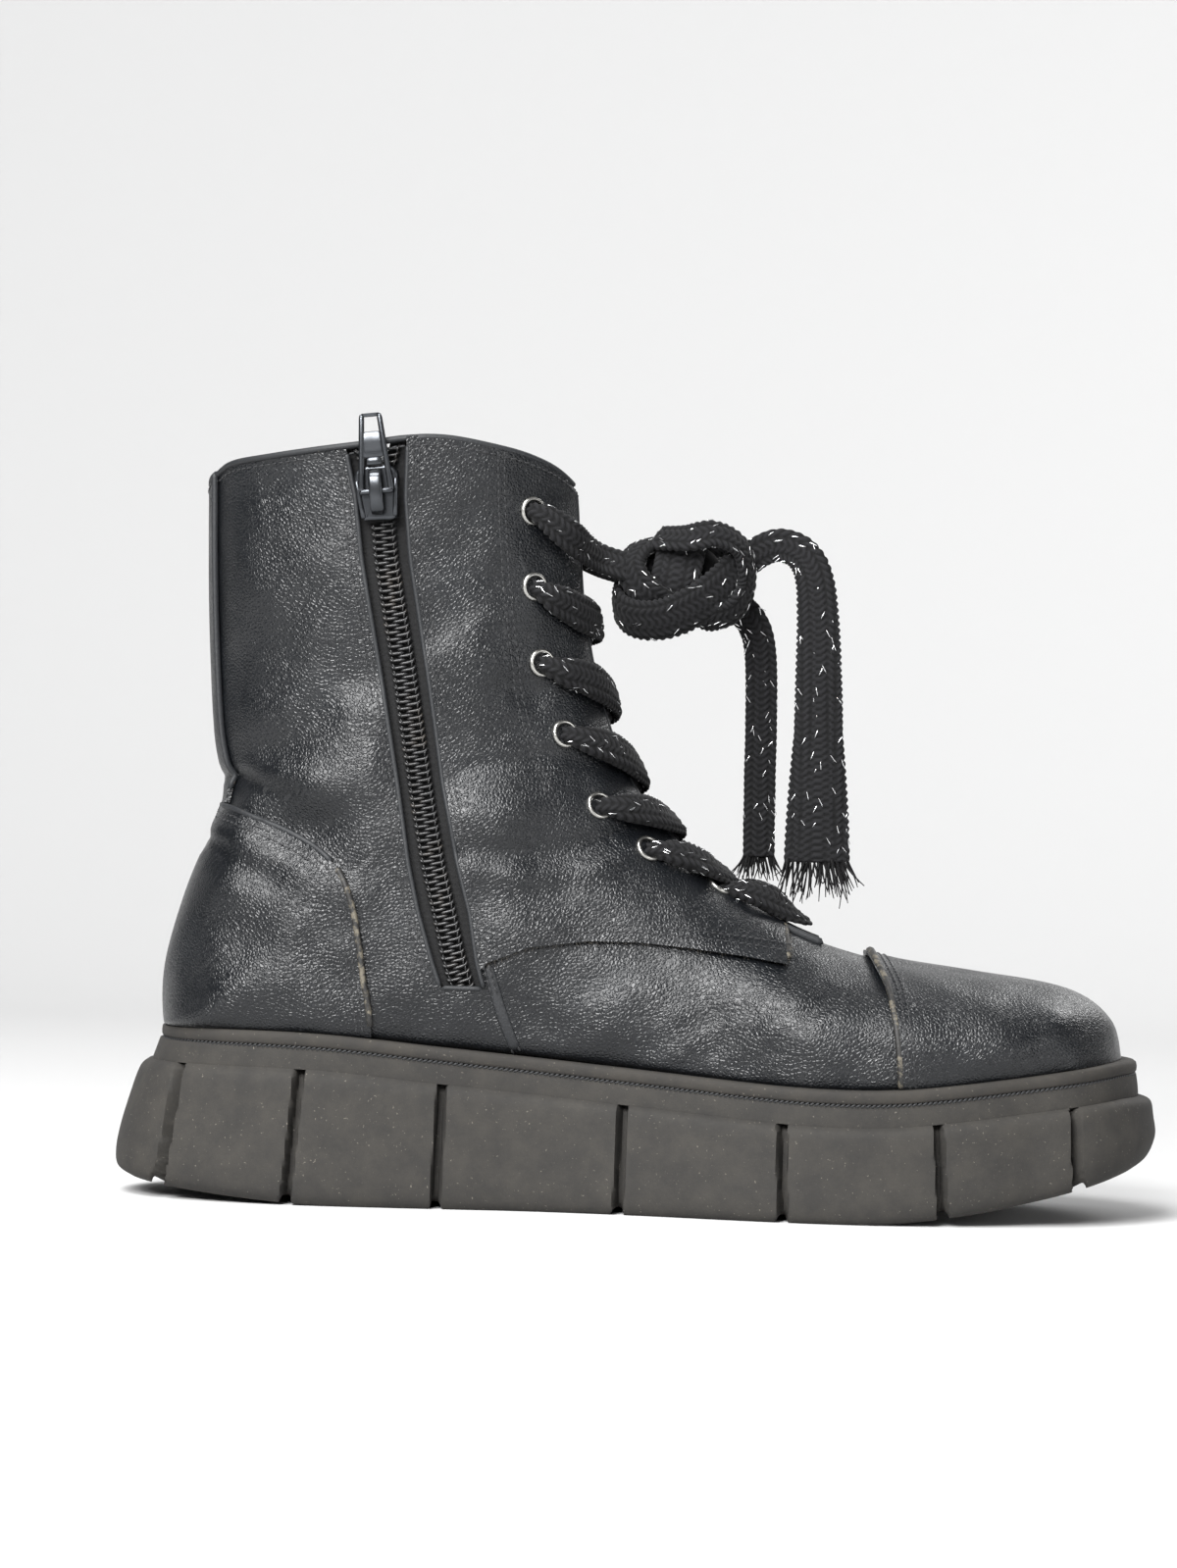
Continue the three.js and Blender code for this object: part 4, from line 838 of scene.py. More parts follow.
upper = shell("upper leather", -1.1, 0, 9, 7, upper_leather)
for cut in (collar_cut, throat(5.4), zip_cut(), hole_cut):
    trim(upper, cut)
upper.data.set_sharp_from_angle(angle=math.radians(50))
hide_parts("upper")
inside = shell("lining", -2, -1.15, 4, 3, lining)
for cut in (collar_cut, throat(5.4), zip_cut(), hole_cut):
    trim(inside, cut)
print("upper faces", len(upper.data.polygons), "lining faces", len(inside.data.polygons))

# %% [markdown]
# ## Overlays
# Toe cap, heel counter, back strip and the two facings are cut from a second layer of the same
# leather and sewn on. Each lies 0.3 mm over the upper and is 1.2 mm thick. A flat panel could be
# pressed on by a Shrinkwrap modifier, but a second shell has the same creases and an even wall.


# %% Overlays
def overlay(name, cuts, mat, node):
    """One panel of the second layer, and what it replaces."""
    piece = shell(name, 0.3, 1.5, 9, 7, mat)
    for cutter, keep in cuts:
        trim(piece, cutter, keep)
    piece.data.set_sharp_from_angle(angle=math.radians(50))
    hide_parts(node)
    return piece


HEEL_Y, STRIP_HALF = 2.3, 10.5
toe_side = prism(np.concatenate([CAP, [[200, 20], [200, 90]]]))
overlay("toe cap leather", [(toe_side, True)], toe_leather, "toe_cap")
heel_side = prism(np.concatenate([COUNTER, [[-180, 10]]]))
overlay("counter leather", [(heel_side, True)], upper_leather, "heel_counter")
heel_outline = [[-160, 98.6], [-80, 98.6], [-80, 260], [-160, 260]]
heel_middle = prism(heel_outline, HEEL_Y - STRIP_HALF, HEEL_Y + STRIP_HALF)
overlay("strip leather", [(heel_middle, True), (collar_cut, False)], upper_leather, "back_strip")
zip_line = np.stack([zip_x, zip_z], -1)
facing_outline = np.concatenate([FACING, [[200, 101.8], [200, 290]], zip_line])
for side, word in ((-1, "inner"), (1, "outer")):
    region = prism(facing_outline, *((-150, SHIFT) if side < 0 else (SHIFT, 150)))
    cuts = [(region, True), (collar_cut, False), (throat(4.6), False), (hole_cut, False)]
    if side < 0:
        cuts.append((zip_cut(), False))
    overlay(word + " facing leather", cuts, upper_leather, "facing_" + word)
print("overlays done")

# %% [markdown]
# ## Edges and stitches
# A cut edge of coated leather is folded under or left raw. Here each visible edge gets a thin
# rounded bead along its line, black where the film is whole and beige where it has worn through.
# Seams are rows of short stitches at the pitch measured in the photo, 1.85 mm. A bump could draw
# them, but the thread stands proud of the leather and catches the light, so each is a small body.


# %% Edges and stitches
def along(points, normals, count):
    """The line and its normals at count even places."""
    steps = np.linalg.norm(np.diff(points, axis=0), axis=1)
    at = np.concatenate([[0], np.cumsum(steps)])
    want = np.linspace(0, at[-1], max(2, int(count)))
    both = np.concatenate([points, normals], 1)
    out = np.stack([np.interp(want, at, both[:, i]) for i in range(both.shape[1])], -1)
    return out[:, :3], unit(out[:, 3:])


def aside(line, distance):
    """A side-view line moved to its left."""
    run = unit(np.gradient(np.asarray(line, float), axis=0))
    return line + distance * np.stack([-run[:, 1], run[:, 0]], -1)


def on_leather(line, side, offset, count=60):
    """A side-view line laid on the boot at an offset."""
    u, k = on_side(smooth_line(line, count), side)
    return over(u, k, offset)


def collar_at(k, drop):
    """Where each column k of the form meets the collar line, lowered by drop."""
    def above_collar(u):
        points = form(u, k)
        return points[..., 2] - np.interp(points[..., 0], COLLAR[:, 0], COLLAR[:, 1] - drop)

    return find(above_collar, np.full(k.shape, 12.6), np.full(k.shape, 20.0))


def cap_at(k, shift):
    """Where each column meets the toe cap's edge, moved toward the toe by shift."""
    rows = CAP[::-1]
    return find(lambda u: np.interp(form(u, k)[..., 2], rows[:, 1], rows[:, 0]) + shift - form(u, k)[..., 0],
                np.zeros(k.shape), np.full(k.shape, 5.5))


def throat_at(u, side, extra=0.0, start=5.4):
    """The column at the edge of the throat."""
    half = throat_half(u, start) + extra
    return side * find(lambda k: abs(form(u, side * k)[..., 1] - form(u, 0 * k)[..., 1]) - half,
                       np.zeros(u.shape), np.full(u.shape, 8.0))


seam_rows = []
beads = {"edge black": [], "edge worn": []}
small = capsule(1.5, 0.5, 0.42, around=6, along=5)


def stitch(points, normals):
    """Adds a row of stitches, 1.85 mm apart, each turned a little and half sunk in the leather."""
    points, normals = along(points, normals, length_of(points) / 1.85)
    axes = frames_along(points, normals)
    lean = rng.normal(0.08, 0.05, len(points))[:, None]
    axes[:, 0] = unit(axes[:, 0] + lean * axes[:, 1])
    axes[:, 1] = np.cross(axes[:, 2], axes[:, 0])
    seam_rows.append(scatter(small, points + axes[:, 2] * 0.03, axes))


def bead(kind, points, normals, width, height):
    """Adds a rounded edge along a line, with a ring every 0.9 mm; its height may change."""
    points, normals = along(points, normals, length_of(points) / 0.9)
    if np.ndim(height):
        height = np.interp(np.linspace(0, 1, len(points)), np.linspace(0, 1, len(height)), height)
    beads[kind].append(tube(points, normals, width, height, around=10, power=0.8))


for side in (-1, 1):
    # Collar: the edge is folded over, with one row of stitches under it
    top_k = abs(throat_at(np.array([18.0]), side)[0]) + 0.05
    k = side * np.linspace(top_k, 11.98, 120)
    near = form(18.5, k)
    on_strip = (near[:, 0] < -90) & (abs(near[:, 1] - HEEL_Y) < STRIP_HALF)
    lift = np.where((abs(k) < 7.4) | on_strip, 0.1, -0.8)
    bead("edge black", *over(collar_at(k, 0.3), k, lift), 1.7, 3.1)
    stitch(*over(collar_at(k, 2.3), k, np.where((near[:, 0] > -66) | on_strip, 1.52, 0.02)))
    # Throat edges of the facings, turned under
    u = np.linspace(4.75, collar_at(throat_at(np.array([18.0]), side), 0.6)[0], 110)
    bead("edge black", *over(u, throat_at(u, side, 0.3, 4.6), 0.55), 1.5, 2.2)
    # Heel counter: folded edge worn through where the foot rubs, and a double seam
    seam_u = find(lambda v: form(v, side * 12.0)[2] - 98, 12.5, 18)
    body = COUNTER[(COUNTER[:, 0] > -106) & (COUNTER[:, 1] > 43)]
    for shift, offset in ((0, 1.0), (1.9, 1.55), (3.4, 1.55)):
        u, k = on_side(aside(body, -shift), side)
        start = over(np.array([seam_u - shift / 30]), np.array([side * 11.95]), offset)
        points, n = over(u, k, offset)
        points, n = np.concatenate([start[0], points]), np.concatenate([start[1], n])
        if shift:
            stitch(points, n)
        else:
            worn = points[:, 2] < 84
            bead("edge black", points[~worn], n[~worn], 1.5, 1.9)
            bead("edge worn", points[worn], n[worn], 1.6, 1.7)
    # Lower edge of the facing, raw and frayed, with a double seam over it
    low = FACING[:7] + [0, 0.2]
    bead("edge worn", *on_leather(low, side, 0.7), 0.9, 1.5)
    stitch(*on_leather(low + [0, 1.7], side, 1.52))
    stitch(*on_leather(low + [0, 3.3], side, 1.52))
    # Front corner of the facing, worn to the backing
    bead("edge worn", *on_leather([(36.2, 63.2), (36.1, 66.5), (35.6, 71.5)], side, 0.8, 12), 1.7, 1.6)
    # The eyelet stay's double seam, parallel to the throat
    stay = [(-38.9, 186.5), (-38.3, 172.5), (-36.6, 153.2), (-33.9, 133.9), (-30.3, 117.1), (-25.7, 105.2),
            (-20.1, 95.1), (-12.7, 88.6), (-2.8, 81.6), (4.6, 76.5), (8.6, 72.2), (9.6, 69.3)]
    stitch(*on_leather(stay, side, 1.52, 120))
    stitch(*on_leather(aside(np.array(stay), 1.5), side, 1.52, 120))
    # Back strip: a folded edge down each side
    u = np.linspace(15.9, collar_at(np.array([side * 10.0]), 1.2)[0], 50)
    k = side * find(lambda v: STRIP_HALF - abs(form(u, side * v)[..., 1] - HEEL_Y),
                    np.full(u.shape, 8.5), np.full(u.shape, 12.0))
    bead("edge black", *over(u, k, 0.9), 1.2, 1.6)

# The outer facing's rear edge: folded, with a double seam in front of it
z = np.linspace(55.5, 187, 60)
edge = np.stack([np.interp(-z, -zip_z, zip_x), z], -1)
bead("edge black", *on_leather(edge + [0.2, 0], 1, 0.55), 1.3, 2.2)
for shift in (1.7, 3.1):
    stitch(*on_leather(edge + [shift, 0], 1, 1.52))
# Toe cap: a worn raw edge that lifts on top, and a double seam
k = np.linspace(-11.9, 11.9, 200)
lip = 1.2 * np.exp(-((k + 0.6) / 2.6) ** 2)
bead("edge worn", *over(cap_at(k, 0.25), k, 0.85 + lip * 0.6), 1.7, 1.5 + lip * 0.7)
stitch(*over(cap_at(k, 2.2), k, 1.55))
stitch(*over(cap_at(k, 3.6), k, 1.55))
# The zip's slot: turned edges and double seams up both sides and under it
for sign in (-1, 1):
    z = np.linspace(zip_z[-1], 188.3 if sign > 0 else 186, 60)
    edge = np.stack([np.interp(-z, -zip_z, zip_x) + sign * np.interp(-z, -zip_z, zip_half), z], -1)
    top = np.where(sign > 0, 0.55, -0.55)
    bead("edge black", *on_leather(edge + [sign * 0.25, 0], -1, top), 1.3, 2.3 if sign > 0 else 1.5)
    for shift in (1.7, 3.1):
        stitch(*on_leather(edge + [sign * shift, 0], -1, 1.52 if sign > 0 else 0.02))
foot_left = np.array([zip_x[-1] - zip_half[-1], zip_z[-1]])
foot_right = np.array([zip_x[-1] + zip_half[-1], zip_z[-1]])
bead("edge black", *on_leather([foot_left, (foot_left + foot_right) / 2, foot_right], -1, -0.4, 14), 1.3, 1.5)
for shift in (1.6, 3.0):
    stitch(*on_leather([foot_left + [-shift, -shift], foot_right + [shift, -shift]], -1, 0.02, 20))
# The short seam that runs down from the facing's corner
tail = np.array([(-37.6, 60.4), (-35, 52.1), (-32.4, 45), (-30.1, 39.6)])
for shift in (-0.9, 0.9):
    stitch(*on_leather(aside(tail, shift), -1, 0.25, 20))
bead("edge black", *on_leather(tail, -1, 0.1, 20), 2.8, 0.8)

sewn = make("stitching", *joined(seam_rows), thread)
edges_black = make("folded_edges", *joined(beads["edge black"]), edge_black)
edges_worn = make("worn_edges", *joined(beads["edge worn"]), edge_worn)
print("stitches:", sum(len(p) for p, _ in seam_rows) // len(small[0]))

# %% [markdown]
# ## Frayed threads
# Where the facing was cut raw, its backing sheds short fibres. A hair system could grow them, but
# plain tubes are the same mesh everywhere. They curl slightly and lie along the edge at random.


# %% Frayed threads
def threads(starts, directions, lengths, radius, curl=0.25, steps=6):
    """Thin tubes: each starts at a point, runs along its direction and bends by a random curl."""
    count = len(starts)
    t = np.linspace(0, 1, steps)[None, :, None]
    bend = rng.normal(0, curl, (count, 1, 3)) * lengths[:, None, None]
    line = starts[:, None] + directions[:, None] * lengths[:, None, None] * t + bend * t ** 2
    run = unit(np.gradient(line, axis=1))
    side = unit(np.cross(run, [0.3, 0.2, 1.0]))
    other = np.cross(run, side)
    b = np.linspace(0, 2 * math.pi, 4, endpoint=False)
    size = radius * (1 - 0.6 * t)
    rings = (line[:, :, None] + side[:, :, None] * (np.cos(b)[:, None] * size[..., None])
             + other[:, :, None] * (np.sin(b)[:, None] * size[..., None]))
    faces = grid_faces(steps, 4, wrap_columns=True)
    faces = faces[None] + (np.arange(count) * steps * 4)[:, None, None]
    return rings.reshape(-1, 3), faces.reshape(-1, 4)


fray = []
for side in (-1, 1):
    points, n = on_leather(FACING[:7], side, 0.7, 300)
    pick = rng.choice(len(points), 230)
    down = np.array([0, 0, -1.0]) + rng.normal(0, 0.7, (230, 3)) + n[pick] * 0.5
    fray.append(threads(points[pick], unit(down), rng.uniform(0.4, 1.3, 230), 0.09))
    corner, n = on_leather([(36.3, 63), (36.1, 67), (35.6, 72)], side, 0.8, 60)
    pick = rng.choice(60, 50)
    out = np.array([1.0, 0, -0.3]) + rng.normal(0, 0.6, (50, 3)) + n[pick] * 0.4
    fray.append(threads(corner[pick], unit(out), rng.uniform(0.4, 1.4, 50), 0.09))
fibre = material("frayed backing fibre", "4a463f", 0.9)[0]
frayed = make("frayed_fibres", *joined(fray), fibre)
print("fibres:", sum(len(p) for p, _ in fray) // 24)

# %% [markdown]
# ## Eyelets
# A nickelled brass eyelet is a tube whose rim is rolled over the leather. Its profile, turned
# round the hole's axis, is the surface: radius and height as functions of one parameter. A torus
# would be quicker, but it has no tube, and the rolled rim is flatter than a torus.

# %% Eyelets
rim = smooth_line([(2.4, -3.6), (2.42, -1.5), (2.45, 0), (2.55, 0.5), (2.85, 0.78), (3.2, 0.8), (3.5, 0.52),
                   (3.62, 0.1), (3.5, -0.15)], 22)
b = np.linspace(0, 2 * math.pi, 40, endpoint=False)
turned = np.stack([rim[:, :1] * np.cos(b), rim[:, :1] * np.sin(b), rim[:, 1:] + 0 * b], -1).reshape(-1, 3)
origins, axes = [], []
for side in (-1, 1):
    centre, out = over(*eyelet_at[side], 1.5)
    across = unit(np.cross(out, [0, 0, 1.0]))
    origins.append(centre)
    axes.append(np.stack([across, np.cross(out, across), out], 1))
eyes = make("eyelets", *scatter((turned, grid_faces(22, 40, wrap_columns=True)), np.concatenate(origins),
                                np.concatenate(axes)), nickel)
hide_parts(*[f"eyelet_{w}_{i}" for w in ("inner", "outer") for i in range(1, 8)])
print("eyelets:", len(np.concatenate(origins)))

# %% [markdown]
# ## Tongue and insole
# The tongue is a soft padded strip under the throat: a flat superellipse carried along the ridge,
# wider than the gap. The insole is the same kind of loop laid across the welt line. Both could
# be cushions blown up by a cloth simulation, but so little of them shows that a formula will do.

# %% Tongue and insole
b = np.linspace(0, 2 * math.pi, 48, endpoint=False)
cb, sb = (np.sign(f) * abs(f) ** 0.6 for f in (np.cos(b), np.sin(b)))
t = np.linspace(0, 1, 90)[:, None]
k = 3.4 * cb[None] * (1 - 0.12 * (t > 0.995))
top = collar_at(np.clip(k[0], -3.4, 3.4), 2.5)
u = 4.65 + t * (top - 4.65)
puff = 1.6 * np.clip(np.minimum(t, 1 - t) * 40, 0.02, 1) ** 0.5 * (1 + 0.08 * np.sin(t * 60))
loops, _ = over(u, k, -4.05 + puff * sb[None])
tongue = make("tongue_pad", loops, grid_faces(90, 48, wrap_columns=True), lining)
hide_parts("tongue")

u = np.concatenate([np.full(9, 0.0), np.linspace(0.15, 11.9, 80)])
k = np.concatenate([np.linspace(1, 8, 9), np.full(80, 12.0)])
inner, outer = form(u, -k), form(u, k)
middle, half = (inner + outer) / 2, (outer - inner) / 2
half *= np.maximum(0, 1 - 2.8 / np.maximum(2.9, np.linalg.norm(half, axis=1)))[:, None]
loops = middle[:, None] + half[:, None] * cb[None, :, None]
loops[..., 2] += 1.8 + 1.7 * sb[None]
loops[..., 0] = np.clip(loops[..., 0], -115.4, 111.5)
sock = make("insole_sock", loops, grid_faces(89, 48, wrap_columns=True), lining)
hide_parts("insole")
print("tongue and insole done")

# %% [markdown]
# ## The zip
# A coil zip: nylon filament wound into teeth and sewn to a woven tape, closed by a cast slider.
# Teeth are hooked wires at 1.7 mm pitch along the zip line, the two sides half a pitch apart,
# and a row of chain stitches holds them to the tape. An Array modifier on a curve would space
# them as well, but above the slider the halves part, and a formula can say how far.

# %% Zip tape and coil
SLIDER = np.array([-67.66, -30.63, 176.04])
FRAME = np.array([[0.99084, -0.07794, 0.11032], [0.07329, 0.99627, 0.04554], [-0.11346, -0.03703, 0.99285]])


def zip_place(z, across, offset):
    """A place in the slot: across is the distance from its middle line."""
    x = np.interp(-z, -zip_z, zip_x)
    z = np.minimum(z, np.interp(x + across, COLLAR[:, 0], COLLAR[:, 1]) - 0.9)
    u, k = on_side(np.stack([x + across, z], -1), -1)
    return over(u, k, offset)


def parting(z):
    """How far each half has moved from the middle: nothing under the slider, then a V."""
    return np.clip(z - 178, 0, 14) * 0.33


tapes, teeth, chain = [], [], []
# One wire of the coil: straight where the halves mesh, curled round at the tape
hook = smooth_line([(-0.9, 0, 0), (0.6, 0, 0), (2.0, 0.05, 0), (2.75, 0.3, -0.1), (3.1, 1.0, -0.5)], 9)
tooth = tube(hook, np.tile([0, 0, 1.0], (9, 1)), 0.78, 1.15, around=7)
for sign in (-1, 1):
    z = np.linspace(52.3, 190, 90)
    outer_edge = np.interp(-z, -zip_z, zip_half) + 4.5
    loops = []
    for a, offset in ((0, -2.45), (0.25, -2.3), (1, -2.3), (1, -3.0), (0.25, -3.0), (0, -2.95)):
        loops.append(zip_place(z, sign * (parting(z) + 0.05 + (outer_edge - parting(z)) * a), offset)[0])
    tapes.append((np.stack(loops, 1).reshape(-1, 3), grid_faces(90, 6, wrap_columns=True)))
    z = np.arange(53.5, 189.5, 1.7) + (0.85 if sign > 0 else 0)
    z = z[(abs(z - 176) > 7.5) & (z < 187.5)]
    points, n = zip_place(z, sign * parting(z), -1.15)
    run = unit(zip_place(z + 1, sign * parting(z), -1.15)[0] - points)
    across = np.cross(run, n) * sign
    teeth.append(scatter(tooth, points, np.stack([across, run, n], 1)))
    points, _ = zip_place(z, sign * (2.3 + parting(z)), -0.62)
    lean = unit(run + 0.25 * across)
    chain.append(scatter(capsule(1.5, 0.42, 0.36, 6, 5), points, np.stack([lean, np.cross(n, lean), n], 1)))
tape = make("zip_tapes", *joined(tapes), tape_weave, sharp=50)
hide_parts("zip_tape")
coils = make("zip_teeth", *joined(teeth + chain), coil_nylon)
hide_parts("zip_coil")
print("teeth:", sum(len(p) for p, _ in teeth) // len(tooth[0]))

# %% [markdown]
# ## Slider and pull
# Both are zinc castings with rounded edges. A plate is its outline drawn in and out over its
# thickness; a bar is a superellipse carried from end to end. Boxes with a Bevel modifier would
# look alike, but castings taper and swell. The pull rides on a body of its own.


# %% Slider and pull
def plate(outline, low, high, soft):
    """A flat casting: six rings of its outline, drawn in by soft at both faces, and lids."""
    outline = smooth_line(np.concatenate([outline, outline[:1]]), 61)[:-1]
    run = unit(np.roll(outline, -1, 0) - np.roll(outline, 1, 0))
    out = np.stack([run[:, 1], -run[:, 0]], -1)
    steps = ((soft * 3, low), (soft, low), (0, low + soft), (0, high - soft), (soft, high), (soft * 3, high))
    rings = [np.insert(outline - out * s, 1, y, 1) for s, y in steps]
    points = np.concatenate(rings + [rings[0].mean(0)[None], rings[-1].mean(0)[None]])
    i = np.arange(60)
    first = np.stack([i, (i + 1) % 60, np.full(60, 360)], 1)
    last = np.stack([(i + 1) % 60 + 300, i + 300, np.full(60, 361)], 1)
    return points, grid_faces(6, 60, wrap_columns=True).tolist() + first.tolist() + last.tolist()


def bar(a, b, wide, wide_end, high, power=0.6):
    """A tapered bar between two points, its broad side turned to -Y."""
    t = np.array([0, 0.015, 0.06, 0.3, 0.6, 0.94, 0.985, 1])
    points = np.array(a, float) + (np.array(b, float) - np.array(a, float)) * t[:, None]
    shrink = np.array([1, 0.8, 1, 1, 1, 1, 0.8, 1])
    width = (wide + (wide_end - wide) * t) * shrink
    return tube(points, np.tile([0, -1.0, 0], (8, 1)), width, high * shrink, around=16, power=power)


def merge(parts):
    """Parts with faces of any size as one."""
    points, faces, start = [], [], 0
    for p, f in parts:
        points.append(p)
        faces += [[int(v) + start for v in one] for one in (f.tolist() if isinstance(f, np.ndarray) else f)]
        start += len(p)
    return np.concatenate(points), faces


shape = np.array([(-3.9, -6.6), (0, -6.7), (3.9, -6.6), (4.2, -3), (4.6, 0), (5.2, 2), (5.2, 5),
                  (3.3, 6.6), (0, 6.7), (-3.3, 6.6), (-5.2, 5), (-5.2, 2), (-4.6, 0), (-4.2, -3)])
arch = smooth_line([(0, -1.6, -4.9), (0, -3.2, -4.6), (0, -4.5, -3.2), (0, -4.9, 0.4), (0, -4.5, 3.8),
                    (0, -3.2, 5.2), (0, -1.6, 5.5)], 30)
arch_out = unit(np.stack([0 * arch[:, 0], arch[:, 1], (arch[:, 2] - 0.4) * 0.8], -1))
slider_parts = [plate(shape, -1.9, -0.7, 0.3), plate(shape, 2.1, 3.2, 0.3),
                bar((0, 0, 0), (0, 0.5, 4.5), 2.2, 2.6, 3.5),
                tube(arch, arch_out, 3.4, 1.3, around=16, power=0.55)]
for sign in (-1, 1):
    slider_parts.append(bar((sign * 3.9, -1.2, -6.2), (sign * 4.9, -1.2, 3.5), 1.3, 1.3, 2.2))
points, faces = merge(slider_parts)
slider = make("slider_casting", SLIDER + points @ FRAME, faces, gunmetal, sharp=60)
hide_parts("zip_slider")

HINGE = np.array([-67.934, -33.782, 176.289])
lean = math.radians(4)
pull_axes = np.stack([FRAME[0], FRAME[1] * math.cos(lean) - FRAME[2] * math.sin(lean),
                      FRAME[1] * math.sin(lean) + FRAME[2] * math.cos(lean)])
pull_parts = [bar((-4.2, 0, 0), (4.2, 0, 0), 1.5, 1.5, 1.5, power=0.9),
              bar((0, 0, 18.4), (0, 0, 19.3), 4.6, 4.4, 1.3, power=0.5),
              bar((0, 0, 8.2), (0, 0, 14.8), 5.4, 4.6, 0.95, power=0.35),
              bar((-1.9, 0, 7.4), (1.9, 0, 7.4), 2.0, 2.0, 1.1, power=0.6)]
for sign in (-1, 1):
    pull_parts.append(bar((sign * 3.75, 0, -0.3), (sign * 2.15, 0, 19.2), 1.6, 1.35, 1.4, power=0.7))
points, faces = merge(pull_parts)
pull = make("pull_casting", HINGE + points @ pull_axes, faces, gunmetal, body="pull", sharp=60)
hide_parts("zip_pull")
print("pull length", round(float(np.ptp(points[:, 2])), 1))

# %% [markdown]
# ## Laces
# A flat tubular braid, eight millimetres wide. Weaving each yarn would take too many faces, so
# the surface is a superellipse carried along the lace, with a relief of knitted Vs: height =
# |sin(pi p)|^0.8 (0.2 + 0.8 sin(pi f)^0.7). f goes across one 2.1 mm column and back across the
# next, and p = s / 1.7 + 1.1 f with s the way along the lace. Flecks of lurex lie on it at random.

# %% Laces
flecks = []
shades = []


def braid(points, normals, width, thick):
    """One length of lace over a few points; width and thick may change along it. It has rings of
    54 points, 0.36 mm apart."""
    around = 54
    count = len(points)
    sizes = np.stack([np.broadcast_to(width, (count,)), np.broadcast_to(thick, (count,))], 1)
    rows = np.concatenate([np.asarray(points, float), np.asarray(normals, float), sizes], 1)
    fine = catmull(rows, np.linspace(0, count - 1, 30 * count))
    steps = np.linalg.norm(np.diff(fine[:, :3], axis=0), axis=1)
    at = np.concatenate([[0], np.cumsum(steps)])
    s = np.linspace(0, at[-1], int(at[-1] / 0.36))
    fine = np.stack([np.interp(s, at, fine[:, i]) for i in range(8)], -1)
    axes = frames_along(fine[:, :3], unit(fine[:, 3:6]))
    w, h = fine[:, 6:7].copy(), fine[:, 7:8].copy()
    w[[0, -1]] *= 0.5
    h[[0, -1]] *= 0.05
    b = np.linspace(0, 2 * math.pi, around, endpoint=False)[None]
    ca = np.sign(np.cos(b)) * abs(np.cos(b)) ** 0.85
    sa = np.sign(np.sin(b)) * abs(np.sin(b)) ** 0.85
    column = ca * w / 2 / 2.1 + 40
    f = column - np.floor(column)
    f = np.where(np.floor(column) % 2 == 0, f, 1 - f)
    turns = abs(np.sin(math.pi * (s[:, None] / 1.7 + 1.1 * f))) ** 0.8
    shade = turns * (0.2 + 0.8 * np.sin(math.pi * f) ** 0.7)
    # The relief height, kept as a UV map, gives the colour its painted shade in the valleys
    shades.append(np.column_stack([shade.ravel(), 0 * shade.ravel()]))
    rise = 0.7 * shade * (h > 0.5) - 0.3
    across = ca * w / 2 + np.cos(b) * rise
    out = sa * h / 2 + np.sin(b) * rise
    loops = fine[:, None, :3] + axes[:, None, 1] * across[..., None] + axes[:, None, 2] * out[..., None]
    if len(s) > 12:
        number = int(at[-1] * 1.2)
        i = rng.integers(4, len(s) - 4, number)
        j = np.where(rng.random(number) < 0.5, 0, around // 2) + rng.integers(3, around // 2 - 3, number)
        turn = rng.choice([-0.55, 0.55, 0.2], number) + rng.normal(0, 0.12, number)
        run = unit(axes[i, 0] + turn[:, None] * axes[i, 1])
        up = axes[i, 2] * np.sign(np.sin(b[0, j]))[:, None]
        flecks.append(scatter(capsule(2.3, 0.3, 0.2, 5, 4), loops[i, j] + up * 0.08,
                              np.stack([run, np.cross(up, run), up], 1)))
    return loops.reshape(-1, 3), grid_faces(len(s), around, wrap_columns=True)


def laced(name, parts, node=None):
    """A lace object from its braids, the height of the relief kept for painted shade in the colour."""
    uv = shades[:]
    shades.clear()
    points, faces = joined(parts)
    # Pieces without a relief get 0.3, the darkest value of the painted valley shade
    uv.append(np.full((len(points) - sum(len(v) for v in uv), 2), 0.3))
    lace = make(name, points, faces, lace_black, uv=np.concatenate(uv))
    if node:
        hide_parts(node)
    return lace


def crossing(side, row):
    """From an eyelet, over the facing's edge, across the tongue and under the other facing."""
    ends = ((side, row), (-side, row + 1))
    (ua, ka), (ub, kb) = [(eyelet_at[s][0][i], eyelet_at[s][1][i]) for s, i in ends]
    step = np.array([0, 0.015, 0.07, 0.15, 0.24, 0.36, 0.5, 0.62, 0.73, 0.79])
    sink = np.array([0, 0.05, 0.26, 0.48, 0.7, 0.9, 1.03, 1.06, 1.04, 1.0])
    rise = np.array([-2.4, 1.4, 3.9, 4.3, 4.1, 3.2, 1.4 - 1.2 * side, -0.8, -3.1, -3.3])
    points, n = over(ua + (ub - ua) * sink, ka + (kb - ka) * step, rise, creased=False)
    width = [3.6, 4.4, 6.4, 8.6, 9.4, 9.5, 9.2, 8.8, 8.4, 8.2]
    return braid(points, n, width, [3.6, 3.6, 3.6, 3.2, 3.0, 2.5, 2.1, 1.7, 1.3, 1.2])


